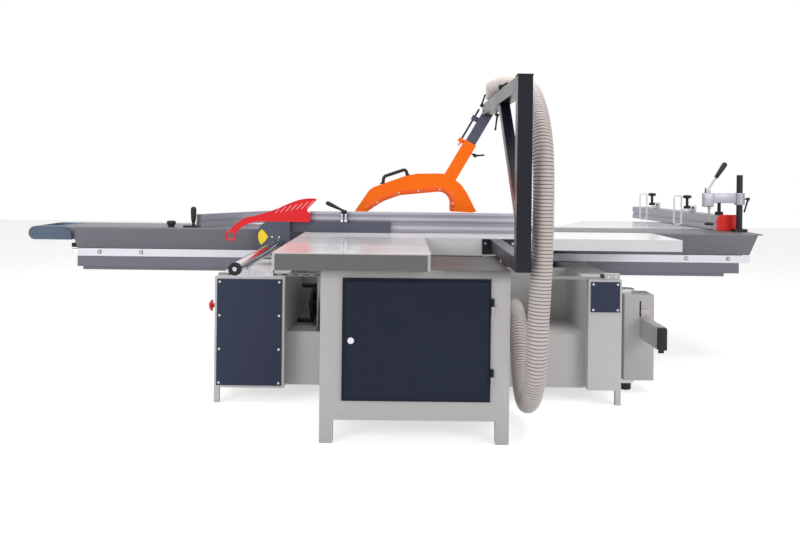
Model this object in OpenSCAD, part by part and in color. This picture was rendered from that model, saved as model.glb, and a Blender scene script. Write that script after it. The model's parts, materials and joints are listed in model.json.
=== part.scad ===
// Sliding table saw: cabinet, tables, sliding carriage on its beam, rip fence, overhead guard, saw unit.
// Millimetres. X runs with the feed, Y from the near edge towards the carriage, Z up from the floor.

/* [Tables] */
// Height of the table tops above the floor
table_h = 840; // [800:5:900]
// Length of the front extension table along the feed
front_table_l = 690; // [600:2:800]
// Depth of the front extension table
front_table_d = 916; // [880:2:960]
// Height of the front table's edge band
front_band = 75; // [60:1:84]
// Length of the main table
main_table_l = 1198; // [1160:2:1240]
// Depth of the main table
main_table_d = 530; // [510:2:560]
// Height of the main table's edge band
main_band = 96; // [90:1:104]
// Length of the rear extension table
rear_table_l = 903; // [700:2:1000]
// Height of the rear table's edge band
rear_band = 63; // [50:1:80]
// Thickness of the table tops
table_plate = 10; // [8:1:12]
// Thickness of the table edge bands
table_wall = 8; // [5:1:12]
// Radius of the front table's corners
table_corner_r = 25; // [10:1:40]
// Gap between neighbouring tables
table_gap = 2; // [1:0.5:4]

/* [Sliding carriage] */
// Length of the carriage body
carriage_l = 4236; // [4000:10:4400]
// Width of the carriage top
carriage_w = 428; // [400:2:460]
// Height of the carriage profile
carriage_h = 141; // [130:1:150]
// Distance that the sloped side falls back
slope_d = 120; // [110:1:130]
// Overhang of the top flange past each end
flange_over = 28; // [10:1:40]
// Thickness of the top flange at its edge
flange_t = 8; // [5:1:10]
// Gap between the main table and the carriage
edge_gap = 14; // [8:1:20]
// Length of the push handle at the carriage end
handle_l = 262; // [200:2:300]
// Height of the push handle
handle_h = 82; // [70:1:96]

/* [Slide beam] */
// Length of the fixed beam
beam_l = 4171; // [4000:10:4200]
// Height of the bright guide strip
strip_h = 50; // [40:1:60]
// Thickness of the guide strip
strip_t = 6; // [4:1:8]
// Height of the beam below the strip
beam_h = 66; // [50:1:80]
// Height of the bottom lip
lip_h = 22; // [15:1:30]
// Spacing of the strip bolts
bolt_pitch = 263; // [200:1:300]

/* [Base] */
// Drop from the table tops to the tops of the base towers
tower_drop = 190; // [160:5:240]
// Height of the base feet
foot_h = 78; // [60:1:90]
// Length of the front tower along the feed
front_tower_l = 360; // [330:2:380]
// Length of the rear tower along the feed
rear_tower_l = 172; // [160:2:190]
// Height of the low box between the towers
low_box_h = 350; // [300:2:400]
// Sheet thickness of the base
sheet = 5; // [3:0.5:6]

/* [Cabinet] */
// Length of the near cabinet
cabinet_l = 834; // [800:2:840]
// Depth of the near cabinet
cabinet_d = 600; // [560:2:612]
// Height of the cabinet legs
leg_h = 103; // [90:1:120]
// Width of a cabinet leg
leg_w = 58; // [45:1:65]
// Length of the door
door_l = 652; // [600:2:680]
// Gap from the cabinet's bottom to the door
door_gap_low = 86; // [70:1:110]
// Thickness of the door
door_t = 22; // [18:1:26]

/* [Saw unit] */
// Diameter of the main blade
blade_d = 315; // [300:1:330]
// Thickness of the main blade
blade_t = 3.2; // [2.8:0.1:4]
// Height of the blade above the table
blade_rise = 60; // [50:1:64]
// Diameter of the scoring blade
scoring_d = 120; // [100:1:125]
// Diameter of the saw arbor
arbor_d = 30; // [25:1:35]
// Diameter of the saw motor
motor_d = 160; // [140:1:170]
// Diameter of the handwheels
wheel_d = 192; // [160:1:210]

/* [Rip fence] */
// Diameter of the round fence rail
rail_d = 53; // [45:1:56]
// Drop from the table tops to the middle of the fence rail
rail_drop = 65; // [55:1:75]
// Height of the fence profile
fence_h = 118; // [100:1:130]
// Length of the fence profile
fence_l = 1250; // [1000:10:1300]
// Thickness of the fence profile
fence_t = 42; // [36:1:48]
// Height of the carrier bar
carrier_h = 60; // [50:1:70]

/* [Crosscut fence] */
// Length of the crosscut fence
crosscut_l = 1435; // [1300:1:1500]
// Angle of the crosscut fence from square
crosscut_a = 5.5; // [0:0.5:10]
// Height of the crosscut fence
crosscut_h = 94; // [80:1:105]
// Thickness of the crosscut fence
crosscut_t = 112; // [100:1:124]
// Height of the outrigger top above the carriage
outrigger_rise = 0; // [0:1:24]

/* [Guard] */
// Width of the square guard post
post_w = 64; // [56:1:68]
// Rise of the guard post above the table tops
post_rise = 775; // [720:5:820]
// Width of the guard hood across the blade
hood_w = 70; // [60:1:76]
// Lean of the guard arm from upright
arm_lean = 30; // [28:0.5:32]

/* [Dust hose] */
// Outer diameter of the ribbed hose
hose_d = 95; // [90:1:97]
// Wall from the bore to the rib tops
hose_wall = 6; // [5:0.5:8]
// Number of ribs
hose_ribs = 186; // [120:1:200]

/* [Swing arm] */
// Width of the swing arm housing
swing_w = 162; // [150:2:176]
// Height of the swing arm housing
swing_h = 468; // [440:2:490]
// Height of the telescopic beam
tele_h = 114; // [100:1:124]
// Thickness of the telescopic beam
tele_t = 45; // [38:1:52]

/* [Clearances] */
// Clearance of sliding faces
slide_fit = 0.3; // [0.2:0.05:0.5]
// Radial clearance of turning shafts
run_fit = 0.05; // [0.03:0.01:0.09]

/* [Hidden] */
$fn = 48;
hull_fn = 24;

// Colours of the finishes
light_grey = "#cfcdc8";
dark_slate = "#3a3f4c";
anodised = "#77757c";
bright = "#d6d7da";
black = "#1c1c1e";
orange = "#f4701c";
red = "#d8202a";
steel = "#9a9ca0";

// Table places
front_x0 = -547;
front_x1 = front_x0 + front_table_l;
main_y0 = front_table_d + table_gap;
main_y1 = main_y0 + main_table_d;
main_x1 = front_x0 + main_table_l;
rear_x0 = main_x1;
rear_x1 = rear_x0 + rear_table_l;
main_z0 = table_h - main_band;
tower_h = table_h - tower_drop;
post_h = table_h + post_rise;
rail_z = table_h - rail_drop;
front_z0 = table_h - front_band;
rear_z0 = table_h - rear_band;

// Carriage and beam places
carriage_x0 = -2021;
carriage_x1 = carriage_x0 + carriage_l;
carriage_y0 = main_y1 + edge_gap;
carriage_y1 = carriage_y0 + carriage_w;
carriage_z0 = table_h - carriage_h;
carriage_skin = 8;
carriage_top = 16;
slot_w = 12;
slot_wide = 22;
slot_depth = 6;
slot_y = carriage_y0 + 70;
ride_gap = 3;
beam_x0 = carriage_x0;
beam_x1 = beam_x0 + beam_l;
strip_x1 = beam_x1 + 69;
beam_y0 = carriage_y0 + slope_d;
beam_y1 = carriage_y1 - slope_d;
strip_z0 = carriage_z0 - strip_h;
beam_z0 = strip_z0 - beam_h;
lip_z0 = beam_z0 - lip_h;
lip_inset = 29;
lip_y_inset = 20;
keel_w = 24;
keel_drop = 30;
groove_w = 80;
groove_d = 44;
keel_y = beam_y1 - 74;
roller_gap = (groove_w - keel_w) / 2;
roller_d = roller_gap - 2 * slide_fit;
cage_l = 2000;
cage_rollers = 14;
blade_window = [-130, 290];
window_d = 58;

// Blade and tilt places
blade_x = 80;
blade_y = main_y1 - 48;
tilt_y = blade_y;
tilt_z = table_h - 2;
arbor_z = table_h + blade_rise - blade_d / 2;
scoring_x = -190;
scoring_z = table_h + 3 - scoring_d / 2;
trunnion_r = 216;
trunnion_front_x = -340;
trunnion_rear_x = 475;
end_plate_t = 15;
carrier_y = blade_y - 220;
carrier_t = 19.7;
motor_x = 330;
motor_z = table_h - 240;
motor_l = 230;
pulley_w = 44;
pulley_gap = 10;
pulley_y1 = carrier_y - pulley_gap;
pulley_y0 = pulley_y1 - pulley_w;
motor_y1 = pulley_y0 - pulley_gap;
motor_y0 = motor_y1 - motor_l;
motor_pulley_d = 120;
arbor_pulley_d = 80;
belt_t = 6;
carrier_x0 = -50;
carrier_x1 = 430;
carrier_z0 = table_h - 280;
carrier_z1 = table_h - 40;
motor_shaft_d = 28;
scoring_motor_d = 90;
scoring_shaft_d = 16;
knife_x0 = 250;
knife_t = 2.8;

// Base places
tower_x0 = -941;
tower_x1 = tower_x0 + front_tower_l;
tower_y0 = 663;
base_y1 = 1500;
rear_tower_x0 = 988;
rear_tower_x1 = rear_tower_x0 + rear_tower_l;
rear_tower_y0 = 685;
low_y0 = 765;
low_z0 = foot_h - 8;
pedestal_y1 = beam_y1 - lip_y_inset;
foot_w = 28;
bulkhead_x = [-440, 560];
bay_y1 = 1220;
cover_t = 5;
wheel_x = bulkhead_x[0] - 40;
wheel_z = table_h - 406;
height_wheel_y = 1100;
tilt_wheel_y = 1330;

wheel_shaft_d = 20;
stop_y = tower_y0 + 45;
stop_z = tower_h - 158;
stop_stem_d = 22;
throat_t = 6;
throat_x = [-290, 340];
throat_y0 = blade_y - 40;
blade_slot = [-262, 312];

// Cabinet places
cabinet_x0 = -339;
cabinet_x1 = cabinet_x0 + cabinet_l;
cabinet_y0 = 68;
cabinet_y1 = cabinet_y0 + cabinet_d;
cabinet_z1 = front_z0;
door_x0 = -242;
door_x1 = door_x0 + door_l;
door_gap_top = 37;
door_z0 = leg_h + door_gap_low;
door_z1 = cabinet_z1 - door_gap_top;
door_y1 = cabinet_y0 - 1;
hinge_d = 14;
hinge_x = door_x1 + hinge_d / 2 + 1;
hinge_y = cabinet_y0 - hinge_d / 2;
hinge_l = 34;
hinge_z = [door_z0 + 110, door_z1 - 120];
hinge_pin_d = 6;
lock_d = 20;
lock_x = door_x0 + 40;
lock_z = door_z0 + 268;

// Fence places
rail_x = -690;
rail_y0 = -46;
rail_y1 = main_y1 - 60;
cap_t = 14;
fence_y1 = blade_y - 100;
fence_y0 = fence_y1 - fence_t;
fence_x0 = -523;
fence_lift = 2;
carrier_bar_x1 = -45;
carrier_bar_t = 40;
carrier_y1 = fence_y0 - slide_fit;
carrier_y0 = carrier_y1 - carrier_bar_t;
casting_x0 = -817;
casting_x1 = -631;
casting_y0 = carrier_y0 - 30;
casting_y1 = carrier_y1;
casting_z1 = table_h + fence_lift + carrier_h;
casting_z0 = rail_z - 70;
lever_x = -318;

// Guard places
post_x = 530;
post_y0 = -66;
post_cap_over = 2;
boom_z1 = post_h - 6;
boom_z0 = boom_z1 - post_w;
brace_w = 50;
brace_y = 620;
brace_z = table_h + 150;
foot_z0 = front_z0 + 9;
foot_y1 = main_y0 - 6;
hood_y0 = blade_y - hood_w / 2;
hood_y1 = blade_y + hood_w / 2;
hood_skin = 6;
arm_top = [540, blade_y, post_h - 46];
arm_h = 62;
arm_t = 56;
boom_y1 = blade_y - arm_t / 2;
arm_wall = 5;
arm_l = 390;
neck_fit = 0.5;
neck_s0 = 218;
neck_s1 = 459;
neck_skin = 6;
neck_w = arm_h + 2 * neck_fit + 2 * neck_skin;
neck_t = arm_t + 2 * neck_fit + 2 * neck_skin;
lug_s = neck_s0 + 6;
rod_d = 12;
rod_off = 58;
rod_s0 = 15;

// Hose route, chosen by hand, as real places; the last points run straight into the lower collar
hose_table = 840;
hose_low = 120;
hose_high = 560;
hose_route = [
    [565, 1190, 1690], [565, 1070, 1690], [572, 900, 1680], [588, 720, 1660], [610, 540, 1634],
    [620, 400, 1596], [624, 260, 1530], [627, 140, 1430], [628, 62, 1310], [628, 30, 1180],
    [627, 22, 1020], [624, 20, 860], [618, 20, 700], [611, 20, 560], [607, 22, 440], [605, 52, 308],
    [606, 138, 197], [609, 265, 131], [612, 350, 120], [616, 436, 131], [621, 540, 180],
    [626, 621, 261], [629, 660, 317], [633, 718, 381], [636, 791, 427], [638, 873, 453],
    [639, 915, 458], [639, 955, 458]
];
function hose_up(z) =
    z + (table_h - hose_table) * max(0, min(1, (z - hose_low) / (hose_high - hose_low)));
hose_path = [for (p = hose_route) [p[0], p[1], hose_up(p[2])]];

// Extents used to centre the part on its own origin
extent_x0 = carriage_x0 - handle_l;
extent_x1 = carriage_x1 + flange_over + 34;
extent_y0 = post_y0 - post_cap_over;
crosscut_y0 = carriage_y1 - 124;
crosscut_y1 = crosscut_y0 + crosscut_l;
pivot_in = 34;
extent_y1 = crosscut_y0 + pivot_in + (crosscut_l - pivot_in) * cos(crosscut_a)
    + crosscut_t / 2 * sin(crosscut_a);
origin = [-round((extent_x0 + extent_x1) / 2), -round((extent_y0 + extent_y1) / 2), 0];

// Helpers
module placed() translate(origin) children();
module block(lo, hi) translate(lo) cube(hi - lo);
module rod_x(d, x0, x1, y, z) translate([x0, y, z]) rotate([0, 90, 0]) cylinder(d = d, h = x1 - x0);
module rod_y(d, y0, y1, x, z) translate([x, y1, z]) rotate([90, 0, 0]) cylinder(d = d, h = y1 - y0);
module rod_z(d, z0, z1, x, y) translate([x, y, z0]) cylinder(d = d, h = z1 - z0);
module slab_xz(y0, y1) translate([0, y1, 0]) rotate([90, 0, 0]) linear_extrude(y1 - y0) children();
module slab_yz(x0, x1) translate([x0, 0, 0]) rotate([90, 0, 90]) linear_extrude(x1 - x0) children();
module slab_xy(z0, z1) translate([0, 0, z0]) linear_extrude(z1 - z0) children();
module tray(lo, hi, plate, wall) {
    difference() {
        block(lo, hi);
        block([lo[0] + wall, lo[1] + wall, lo[2] - 1], [hi[0] - wall, hi[1] - wall, hi[2] - plate]);
    }
}
function arc(c, r, a0, a1, n = 12) =
    [for (i = [0:n]) let (a = a0 + (a1 - a0) * i / n) [c[0] + r * cos(a), c[1] + r * sin(a)]];

// Base and cabinet
module tower(x0, x1, y0, foot_x, open_z0) {
    rim = 40;
    difference() {
        block([x0, y0, foot_h], [x1, base_y1, tower_h]);
        block([x0 + sheet, y0 + sheet, foot_h + sheet], [x1 - sheet, base_y1 - sheet, tower_h - sheet]);
        block([x0 + rim, y0 - 1, open_z0], [x1 - rim, y0 + sheet + 1, tower_h - rim]);
    }
    block([foot_x, y0, 0], [foot_x + foot_w, y0 + foot_w, foot_h]);
}
module pedestal(x0, x1) {
    difference() {
        block([x0, base_y1, foot_h], [x1, pedestal_y1, lip_z0]);
        block([x0 + sheet, base_y1 + sheet, foot_h - 1],
            [x1 - sheet, pedestal_y1 - sheet, lip_z0 - 2 * sheet]);
    }
    for (x = [x0, x1 - foot_w]) block([x, pedestal_y1 - foot_w, 0], [x + foot_w, pedestal_y1, foot_h]);
}
module base_frame() color(light_grey) {
    back_h = low_box_h + 50;
    difference() {
        tower(tower_x0, tower_x1, tower_y0, tower_x0, foot_h + 40);
        rod_x(stop_stem_d + 2 * run_fit, tower_x0 - 1, tower_x0 + sheet + 1, stop_y, stop_z);
    }
    tower(rear_tower_x0, rear_tower_x1, rear_tower_y0, rear_tower_x1 - foot_w, tower_h - 140);
    pedestal(tower_x0 + 41, tower_x1 - 59);
    pedestal(rear_tower_x0 - 128, rear_tower_x0 + 72);
    block([tower_x1, low_y0, low_z0], [rear_tower_x0, low_y0 + sheet, low_box_h]);
    block([tower_x1, low_y0, low_z0], [rear_tower_x0, base_y1, low_z0 + sheet]);
    block([tower_x1, base_y1 - sheet, low_z0], [rear_tower_x0, base_y1, back_h]);
    block([bulkhead_x[1], low_y0, low_box_h - sheet], [rear_tower_x0, bay_y1, low_box_h]);
    block([bulkhead_x[1], bay_y1 - sheet, low_box_h - sheet], [rear_tower_x0, bay_y1, tower_h]);
    difference() {
        for (x = bulkhead_x) bulkhead(x);
        for (y = [height_wheel_y, tilt_wheel_y])
            rod_x(wheel_shaft_d + 2 * run_fit, bulkhead_x[0] - 1, bulkhead_x[0] + sheet + 1, y, wheel_z);
    }
}
module bulkhead(x) {
    inset = 60;
    block([x, low_y0, low_z0], [x + sheet, base_y1, low_box_h]);
    block([x, main_y0, low_box_h], [x + sheet, main_y1 - inset, main_z0]);
}
module electrical_cover() color(dark_slate) {
    inset = 13;
    block([tower_x0 + inset, tower_y0 - cover_t, foot_h + inset],
        [tower_x1 - inset, tower_y0, tower_h - inset]);
}
module rear_cover() color(dark_slate) {
    inset = 11;
    plate_h = 156;
    block([rear_tower_x0 + inset, rear_tower_y0 - cover_t, tower_h - inset - plate_h],
        [rear_tower_x1 - inset, rear_tower_y0, tower_h - inset]);
}
module screw_y(x, y, z, d = 12, h = 4) rod_y(d, y - h, y, x, z);
module machine_screws() color(steel) {
    inset = 27;
    cover_y = tower_y0 - cover_t;
    for (x = [tower_x0 + inset, tower_x1 - inset])
        for (i = [0:3]) screw_y(x, cover_y, foot_h + inset + i * (tower_h - foot_h - 2 * inset) / 3);
    for (x = [rear_tower_x0 + 23, rear_tower_x1 - 23])
        for (z = [tower_h - 155, tower_h - 23]) screw_y(x, rear_tower_y0 - cover_t, z);
    strip_mid = strip_z0 + strip_h / 2;
    bolt_in = 138;
    for (i = [0:1]) {
        screw_y(beam_x0 + bolt_in + i * bolt_pitch, beam_y0, strip_mid, 16, 5);
        screw_y(strip_x1 - bolt_in - i * bolt_pitch, beam_y0, strip_mid, 16, 5);
    }
    for (x = [post_x - 55, post_x + 60, post_x + 95]) screw_y(x, foot_y1, table_h - 28, 14, 6);
}
module cabinet() color(light_grey) {
    lip = 20;
    difference() {
        block([cabinet_x0, cabinet_y0, leg_h], [cabinet_x1, cabinet_y1, cabinet_z1]);
        block([cabinet_x0 + sheet, cabinet_y0 + sheet, leg_h + sheet],
            [cabinet_x1 - sheet, cabinet_y1 - sheet, cabinet_z1 - sheet]);
        block([door_x0 + lip, cabinet_y0 - 1, door_z0 + lip],
            [door_x1 - lip, cabinet_y0 + sheet + 1, door_z1 - lip]);
    }
    for (x = [cabinet_x0, cabinet_x1 - leg_w])
        for (y = [cabinet_y0, cabinet_y1 - leg_w]) block([x, y, 0], [x + leg_w, y + leg_w, leg_h]);
    for (z = hinge_z) difference() {
        union() {
            rod_z(hinge_d, z - hinge_l, z, hinge_x, hinge_y);
            block([hinge_x, cabinet_y0 - 3, z - hinge_l], [hinge_x + 24, cabinet_y0, z]);
        }
        rod_z(hinge_pin_d + 2 * run_fit, z - hinge_l - 1, z + 1, hinge_x, hinge_y);
    }
}
module door() color(dark_slate) {
    step = 14;
    difference() {
        union() {
            block([door_x0, door_y1 - 6, door_z0], [door_x1, door_y1, door_z1]);
            block([door_x0 + step, door_y1 - door_t, door_z0 + step],
                [door_x1 - step, door_y1 - 6, door_z1 - step]);
            for (z = hinge_z) {
                rod_z(hinge_pin_d, z - hinge_l + 2, z + hinge_l, hinge_x, hinge_y);
                rod_z(hinge_d, z + slide_fit, z + hinge_l, hinge_x, hinge_y);
                block([door_x1 - 2, door_y1 - 6, z + slide_fit], [hinge_x, door_y1 - 2, z + hinge_l]);
            }
        }
        rod_y(lock_d + 2 * run_fit, door_y1 - door_t - 1, door_y1 + 1, lock_x, lock_z);
    }
}
module door_lock() color(bright) {
    difference() {
        union() {
            rod_y(lock_d, door_y1 - door_t - 1, door_y1 - 1, lock_x, lock_z);
            rod_y(lock_d + 8, door_y1 - door_t - 6, door_y1 - door_t - slide_fit, lock_x, lock_z);
        }
        block([lock_x - 2, door_y1 - door_t - 7, lock_z - 9],
            [lock_x + 2, door_y1 - door_t - 2, lock_z + 9]);
    }
}
module stop_button() color(red) {
    rod_x(stop_stem_d, tower_x0 - 22, tower_x0 + 16, stop_y, stop_z);
    translate([tower_x0 - 22, stop_y, stop_z]) rotate([0, -90, 0]) rotate_extrude() {
        difference() {
            intersection() {
                translate([0, -20]) circle(r = 38);
                square([34, 40]);
            }
            translate([-40, -40]) square([40, 80]);
        }
    }
}

// Tables
module front_table() color(light_grey) {
    difference() {
        slab_xy(front_z0, table_h) rounded_near([front_x0, 0], [front_x1, front_table_d], table_corner_r);
        block([front_x0 + table_wall, table_wall, front_z0 - 1],
            [front_x1 - table_wall, front_table_d - table_wall, table_h - table_plate]);
    }
}
module rounded_near(lo, hi, r) {
    translate(lo + [r, 0]) square(hi - lo - [2 * r, 0]);
    translate(lo + [0, r]) square(hi - lo - [0, r]);
    for (x = [lo[0] + r, hi[0] - r]) translate([x, lo[1] + r]) circle(r = r);
}
module main_table() color(light_grey) {
    rib = 10;
    difference() {
        tray([front_x0, main_y0, main_z0], [main_x1, main_y1, table_h], table_plate, table_wall);
        block([bulkhead_x[0] + 2 * rib, main_y1 - table_wall - 1, main_z0 - 1],
            [bulkhead_x[1] - rib, main_y1 + 1, table_h - table_plate]);
        block([throat_x[0], throat_y0, table_h - throat_t], [throat_x[1], main_y1 + 1, table_h + 1]);
        block([throat_x[0] + rib, throat_y0 + rib, main_z0], [throat_x[1] - rib, main_y1 + 1, table_h]);
    }
    for (x = bulkhead_x)
        block([x, main_y0 + table_wall, main_z0],
            [x + sheet, main_y1 - table_wall - 60, table_h - table_plate]);
}
module throat_plate() color(steel) {
    difference() {
        block([throat_x[0] + slide_fit, throat_y0 + slide_fit, table_h - throat_t],
            [throat_x[1] - slide_fit, main_y1, table_h]);
        block([blade_slot[0], blade_y - 12, table_h - throat_t - 1],
            [blade_slot[1], blade_y + 20, table_h + 1]);
    }
}
module rear_table() color(light_grey) {
    tray([rear_x0, main_y0, rear_z0], [rear_x1, main_y1, table_h], table_plate, table_wall);
}

// Slide beam and its strip
module blade_relief(z0, z1) block([blade_window[0], beam_y0 - 1, z0],
    [blade_window[1], beam_y0 + window_d, z1]);
module slide_beam() color(anodised) {
    top = carriage_z0 - ride_gap;
    wall = 12;
    difference() {
        union() {
            block([beam_x0, beam_y0 + strip_t, strip_z0], [beam_x1, beam_y1, top]);
            block([beam_x0, beam_y0, beam_z0], [beam_x1, beam_y1, strip_z0]);
            block([beam_x0 + lip_inset, beam_y0 + lip_y_inset, lip_z0],
                [beam_x1 - 3 * lip_inset, beam_y1 - lip_y_inset, beam_z0]);
        }
        block([beam_x0 - 1, keel_y - groove_w / 2, top - groove_d],
            [beam_x1 + 1, keel_y + groove_w / 2, top + 1]);
        block([beam_x0 - 1, beam_y0 + window_d + wall, beam_z0 + wall],
            [beam_x1 + 1, beam_y1 - wall, top - groove_d - wall]);
        blade_relief(lip_z0 - 1, top + 1);
    }
}
module guide_strip() color(bright) {
    difference() {
        block([beam_x0, beam_y0, strip_z0], [strip_x1, beam_y0 + strip_t, carriage_z0 - ride_gap]);
        blade_relief(strip_z0 - 1, carriage_z0);
    }
}
module roller_cage() color(steel) {
    z1 = carriage_z0 - ride_gap - 6;
    roller_h = 16;
    bar_w = 14;
    bar_h = 10;
    for (y = [keel_y - (keel_w + roller_gap) / 2, keel_y + (keel_w + roller_gap) / 2]) {
        block([-cage_l / 2, y - bar_w / 2, z1 - bar_h - 3], [cage_l / 2, y + bar_w / 2, z1 - 3]);
        for (i = [0:cage_rollers])
            rod_z(roller_d, z1 - roller_h, z1, -cage_l / 2 + 30 + i * (cage_l - 60) / cage_rollers, y);
    }
}

// Fence rail
module fence_rail() color(bright) rod_y(rail_d, rail_y0, rail_y1, rail_x, rail_z);
module rail_cap() color(black) {
    difference() {
        rod_y(rail_d + 3, rail_y0 - cap_t, rail_y0, rail_x, rail_z);
        rod_y(14, rail_y0 - cap_t - 1, rail_y0 - cap_t + 4, rail_x, rail_z);
    }
}
module rail_brackets() color(steel) {
    w = 40;
    t = 8;
    for (y = [60, rail_y1 - w]) difference() {
        union() {
            block([rail_x - 30, y, rail_z - rail_d / 2 - 18], [front_x0, y + w, rail_z - rail_d / 4]);
            block([front_x0 - t, y, rail_z - rail_d / 2 - 18], [front_x0, y + w, table_h - 30]);
        }
        rod_y(rail_d, y - 1, y + w + 1, rail_x, rail_z);
    }
}
module tie_rail() color(light_grey) {
    w = 40;
    h = 16;
    difference() {
        block([tower_x0 + 12, tower_y0 + 27, tower_h],
            [rear_tower_x1 - 60, tower_y0 + 27 + w, tower_h + h]);
        block([tower_x0 + 11, tower_y0 + 31, tower_h + 4],
            [rear_tower_x1 - 59, tower_y0 + 28 + w, tower_h + h + 1]);
        for (i = [0:10]) {
            x = tower_x0 + 60 + i * 56;
            block([x, tower_y0 + 26, tower_h + 5], [x + 30, tower_y0 + 32, tower_h + 11]);
        }
    }
}

// Overhead guard
module guard_post() color(dark_slate) {
    x0 = post_x - post_w / 2;
    x1 = post_x + post_w / 2;
    wall = 4;
    back = post_y0 + post_w;
    slope = atan2(boom_z0 - brace_z, brace_y - back);
    dy = brace_w / 2 / sin(slope);
    dz = brace_w / 2 / cos(slope);
    difference() {
        union() {
            block([x0, post_y0, foot_z0], [x1, post_y0 + post_w, boom_z1]);
            block([x0 - post_cap_over, post_y0 - post_cap_over, boom_z1],
                [x1 + post_cap_over, post_y0 + post_w + post_cap_over, post_h]);
            block([x0, post_y0, boom_z0], [x1, boom_y1, boom_z1]);
            slab_yz(post_x - brace_w / 2, post_x + brace_w / 2)
                polygon([[back - 2, brace_z - dz], [back, brace_z - dz], [brace_y + dy, boom_z0],
                    [brace_y + dy, boom_z0 + 2], [brace_y - dy, boom_z0 + 2], [brace_y - dy, boom_z0],
                    [back, brace_z + dz], [back - 2, brace_z + dz]]);
            block([x0, post_y0, foot_z0], [x1, foot_y1, foot_z0 + post_w - 2]);
        }
        block([x0 + wall, post_y0 + wall, foot_z0 + wall],
            [x1 - wall, post_y0 + post_w - wall, boom_z1 - wall]);
        block([x0 + wall, post_y0 + wall, boom_z0 + wall], [x1 - wall, boom_y1 + 1, boom_z1 - wall]);
        block([x0 + wall, post_y0 + wall, foot_z0 + wall],
            [x1 - wall, foot_y1 + 1, foot_z0 + post_w - 2 - wall]);
    }
}
module post_brackets() color(black) {
    block([post_x - 72, foot_y1, main_z0 + 8], [post_x + 116, main_y0, table_h - 4]);
}
module along_arm() translate(arm_top) rotate([0, 180 + arm_lean, 0]) children();
module arm_tube() color(dark_slate) {
    eye_z = 62;
    eye_h = 30;
    along_arm() difference() {
        union() {
            block([-arm_h / 2, -arm_t / 2, -40], [arm_h / 2, arm_t / 2, arm_l]);
            block([arm_h / 2 - 1, -11, eye_z], [rod_off + 14, 11, eye_z + eye_h]);
        }
        block([-arm_h / 2 + arm_wall, -arm_t / 2 + arm_wall, -30],
            [arm_h / 2 - arm_wall, arm_t / 2 - arm_wall, arm_l + 1]);
        translate([rod_off, 0, eye_z - 1]) cylinder(d = rod_d + 2 * run_fit, h = eye_h + 2);
    }
}
module hood_neck() color(orange) {
    w = arm_h + 2 * neck_fit;
    t = arm_t + 2 * neck_fit;
    along_arm() difference() {
        block([-neck_w / 2, -neck_t / 2, neck_s0], [neck_w / 2, neck_t / 2, neck_s1]);
        block([-w / 2, -t / 2, neck_s0 - 1], [w / 2, t / 2, neck_s1 + 1]);
    }
}
module guide_rod() color(steel) {
    along_arm() {
        translate([rod_off, 0, rod_s0]) cylinder(d = rod_d, h = lug_s + 10 - rod_s0);
        difference() {
            block([neck_w / 2, -9, lug_s], [rod_off + 12, 9, lug_s + 20]);
            translate([rod_off, 0, lug_s - 1]) cylinder(d = rod_d / 2, h = 5);
        }
    }
}
// Neck end face on the hood, as two corners of the outline
function arm_point(s, off) = [
    arm_top[0] - s * sin(arm_lean) - off * cos(arm_lean),
    arm_top[2] - s * cos(arm_lean) + off * sin(arm_lean)
];
function above(pts) = [for (p = pts) [p[0], table_h + p[1]]];
hood_outline = concat(
    above([[-265, 118], [-188, 234]]),
    arc([-110, table_h + 180], 95, 150, 112, 5),
    above([[30, 332], [110, 350], [235, 352]]),
    [arm_point(neck_s1, neck_w / 2 + 1), arm_point(neck_s1, -neck_w / 2 - 1)],
    above([[377, 284], [409, 240], [436, 188], [455, 150], [470, 125], [445, 118], [312, 124]]),
    arc([240, table_h + 170], 72, -15, 95, 8),
    above([[6, 218], [-90, 182], [-150, 145], [-188, 118]])
);
hood_void = concat(
    above([[-252, 100], [-180, 228]]),
    arc([-110, table_h + 180], 86, 150, 112, 5),
    above([[32, 324], [110, 341], [240, 342]]),
    [arm_point(neck_s1 + 10, neck_w / 2 - 9), arm_point(neck_s1 + 10, 9 - neck_w / 2)],
    above([[368, 278], [400, 235], [427, 184], [445, 147], [452, 130], [440, 100]])
);
module guard_hood() color(orange) {
    difference() {
        slab_xz(hood_y0, hood_y1) polygon(hood_outline);
        slab_xz(hood_y0 + hood_skin, hood_y1 - hood_skin) polygon(hood_void);
    }
}
module hood_handle() color(black) {
    d = 20;
    reach = 80;
    feet = above([[-92, 334], [40, 377]]);
    difference() {
        for (p = feet) rod_z(d, p[1] - reach, p[1], p[0], blade_y);
        slab_xz(hood_y0, hood_y1) polygon(hood_outline);
    }
    hull() {
        for (p = feet) translate([p[0], blade_y, p[1]]) sphere(d = d, $fn = hull_fn);
    }
}

// Dust hose
function bez(p0, p1, p2, p3, t) =
    0.5 * ((2 * p1) + (p2 - p0) * t + (2 * p0 - 5 * p1 + 4 * p2 - p3) * t * t
    + (3 * p1 - p0 - 3 * p2 + p3) * t * t * t);
hose_n = len(hose_path);
function hose_at(i) = hose_path[max(0, min(hose_n - 1, i))];
function hose_point(u) = let (k = min(hose_n - 2, floor(u)))
    bez(k == 0 ? 2 * hose_at(0) - hose_at(1) : hose_at(k - 1), hose_at(k), hose_at(k + 1),
        k == hose_n - 2 ? 2 * hose_at(k + 1) - hose_at(k) : hose_at(k + 2), u - k);
hose_steps = 480;
hose_fine = [for (i = [0:hose_steps]) hose_point(i * (hose_n - 1) / hose_steps)];
hose_run = [for (i = 0, s = 0; i <= hose_steps; i = i + 1,
    s = s + (i <= hose_steps ? norm(hose_fine[i] - hose_fine[i - 1]) : 0)) s];
hose_length = hose_run[hose_steps];
function hose_index(s, lo, hi) = hi - lo <= 1 ? lo
    : let (m = floor((lo + hi) / 2)) hose_run[m] <= s ? hose_index(s, m, hi) : hose_index(s, lo, m);
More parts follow.
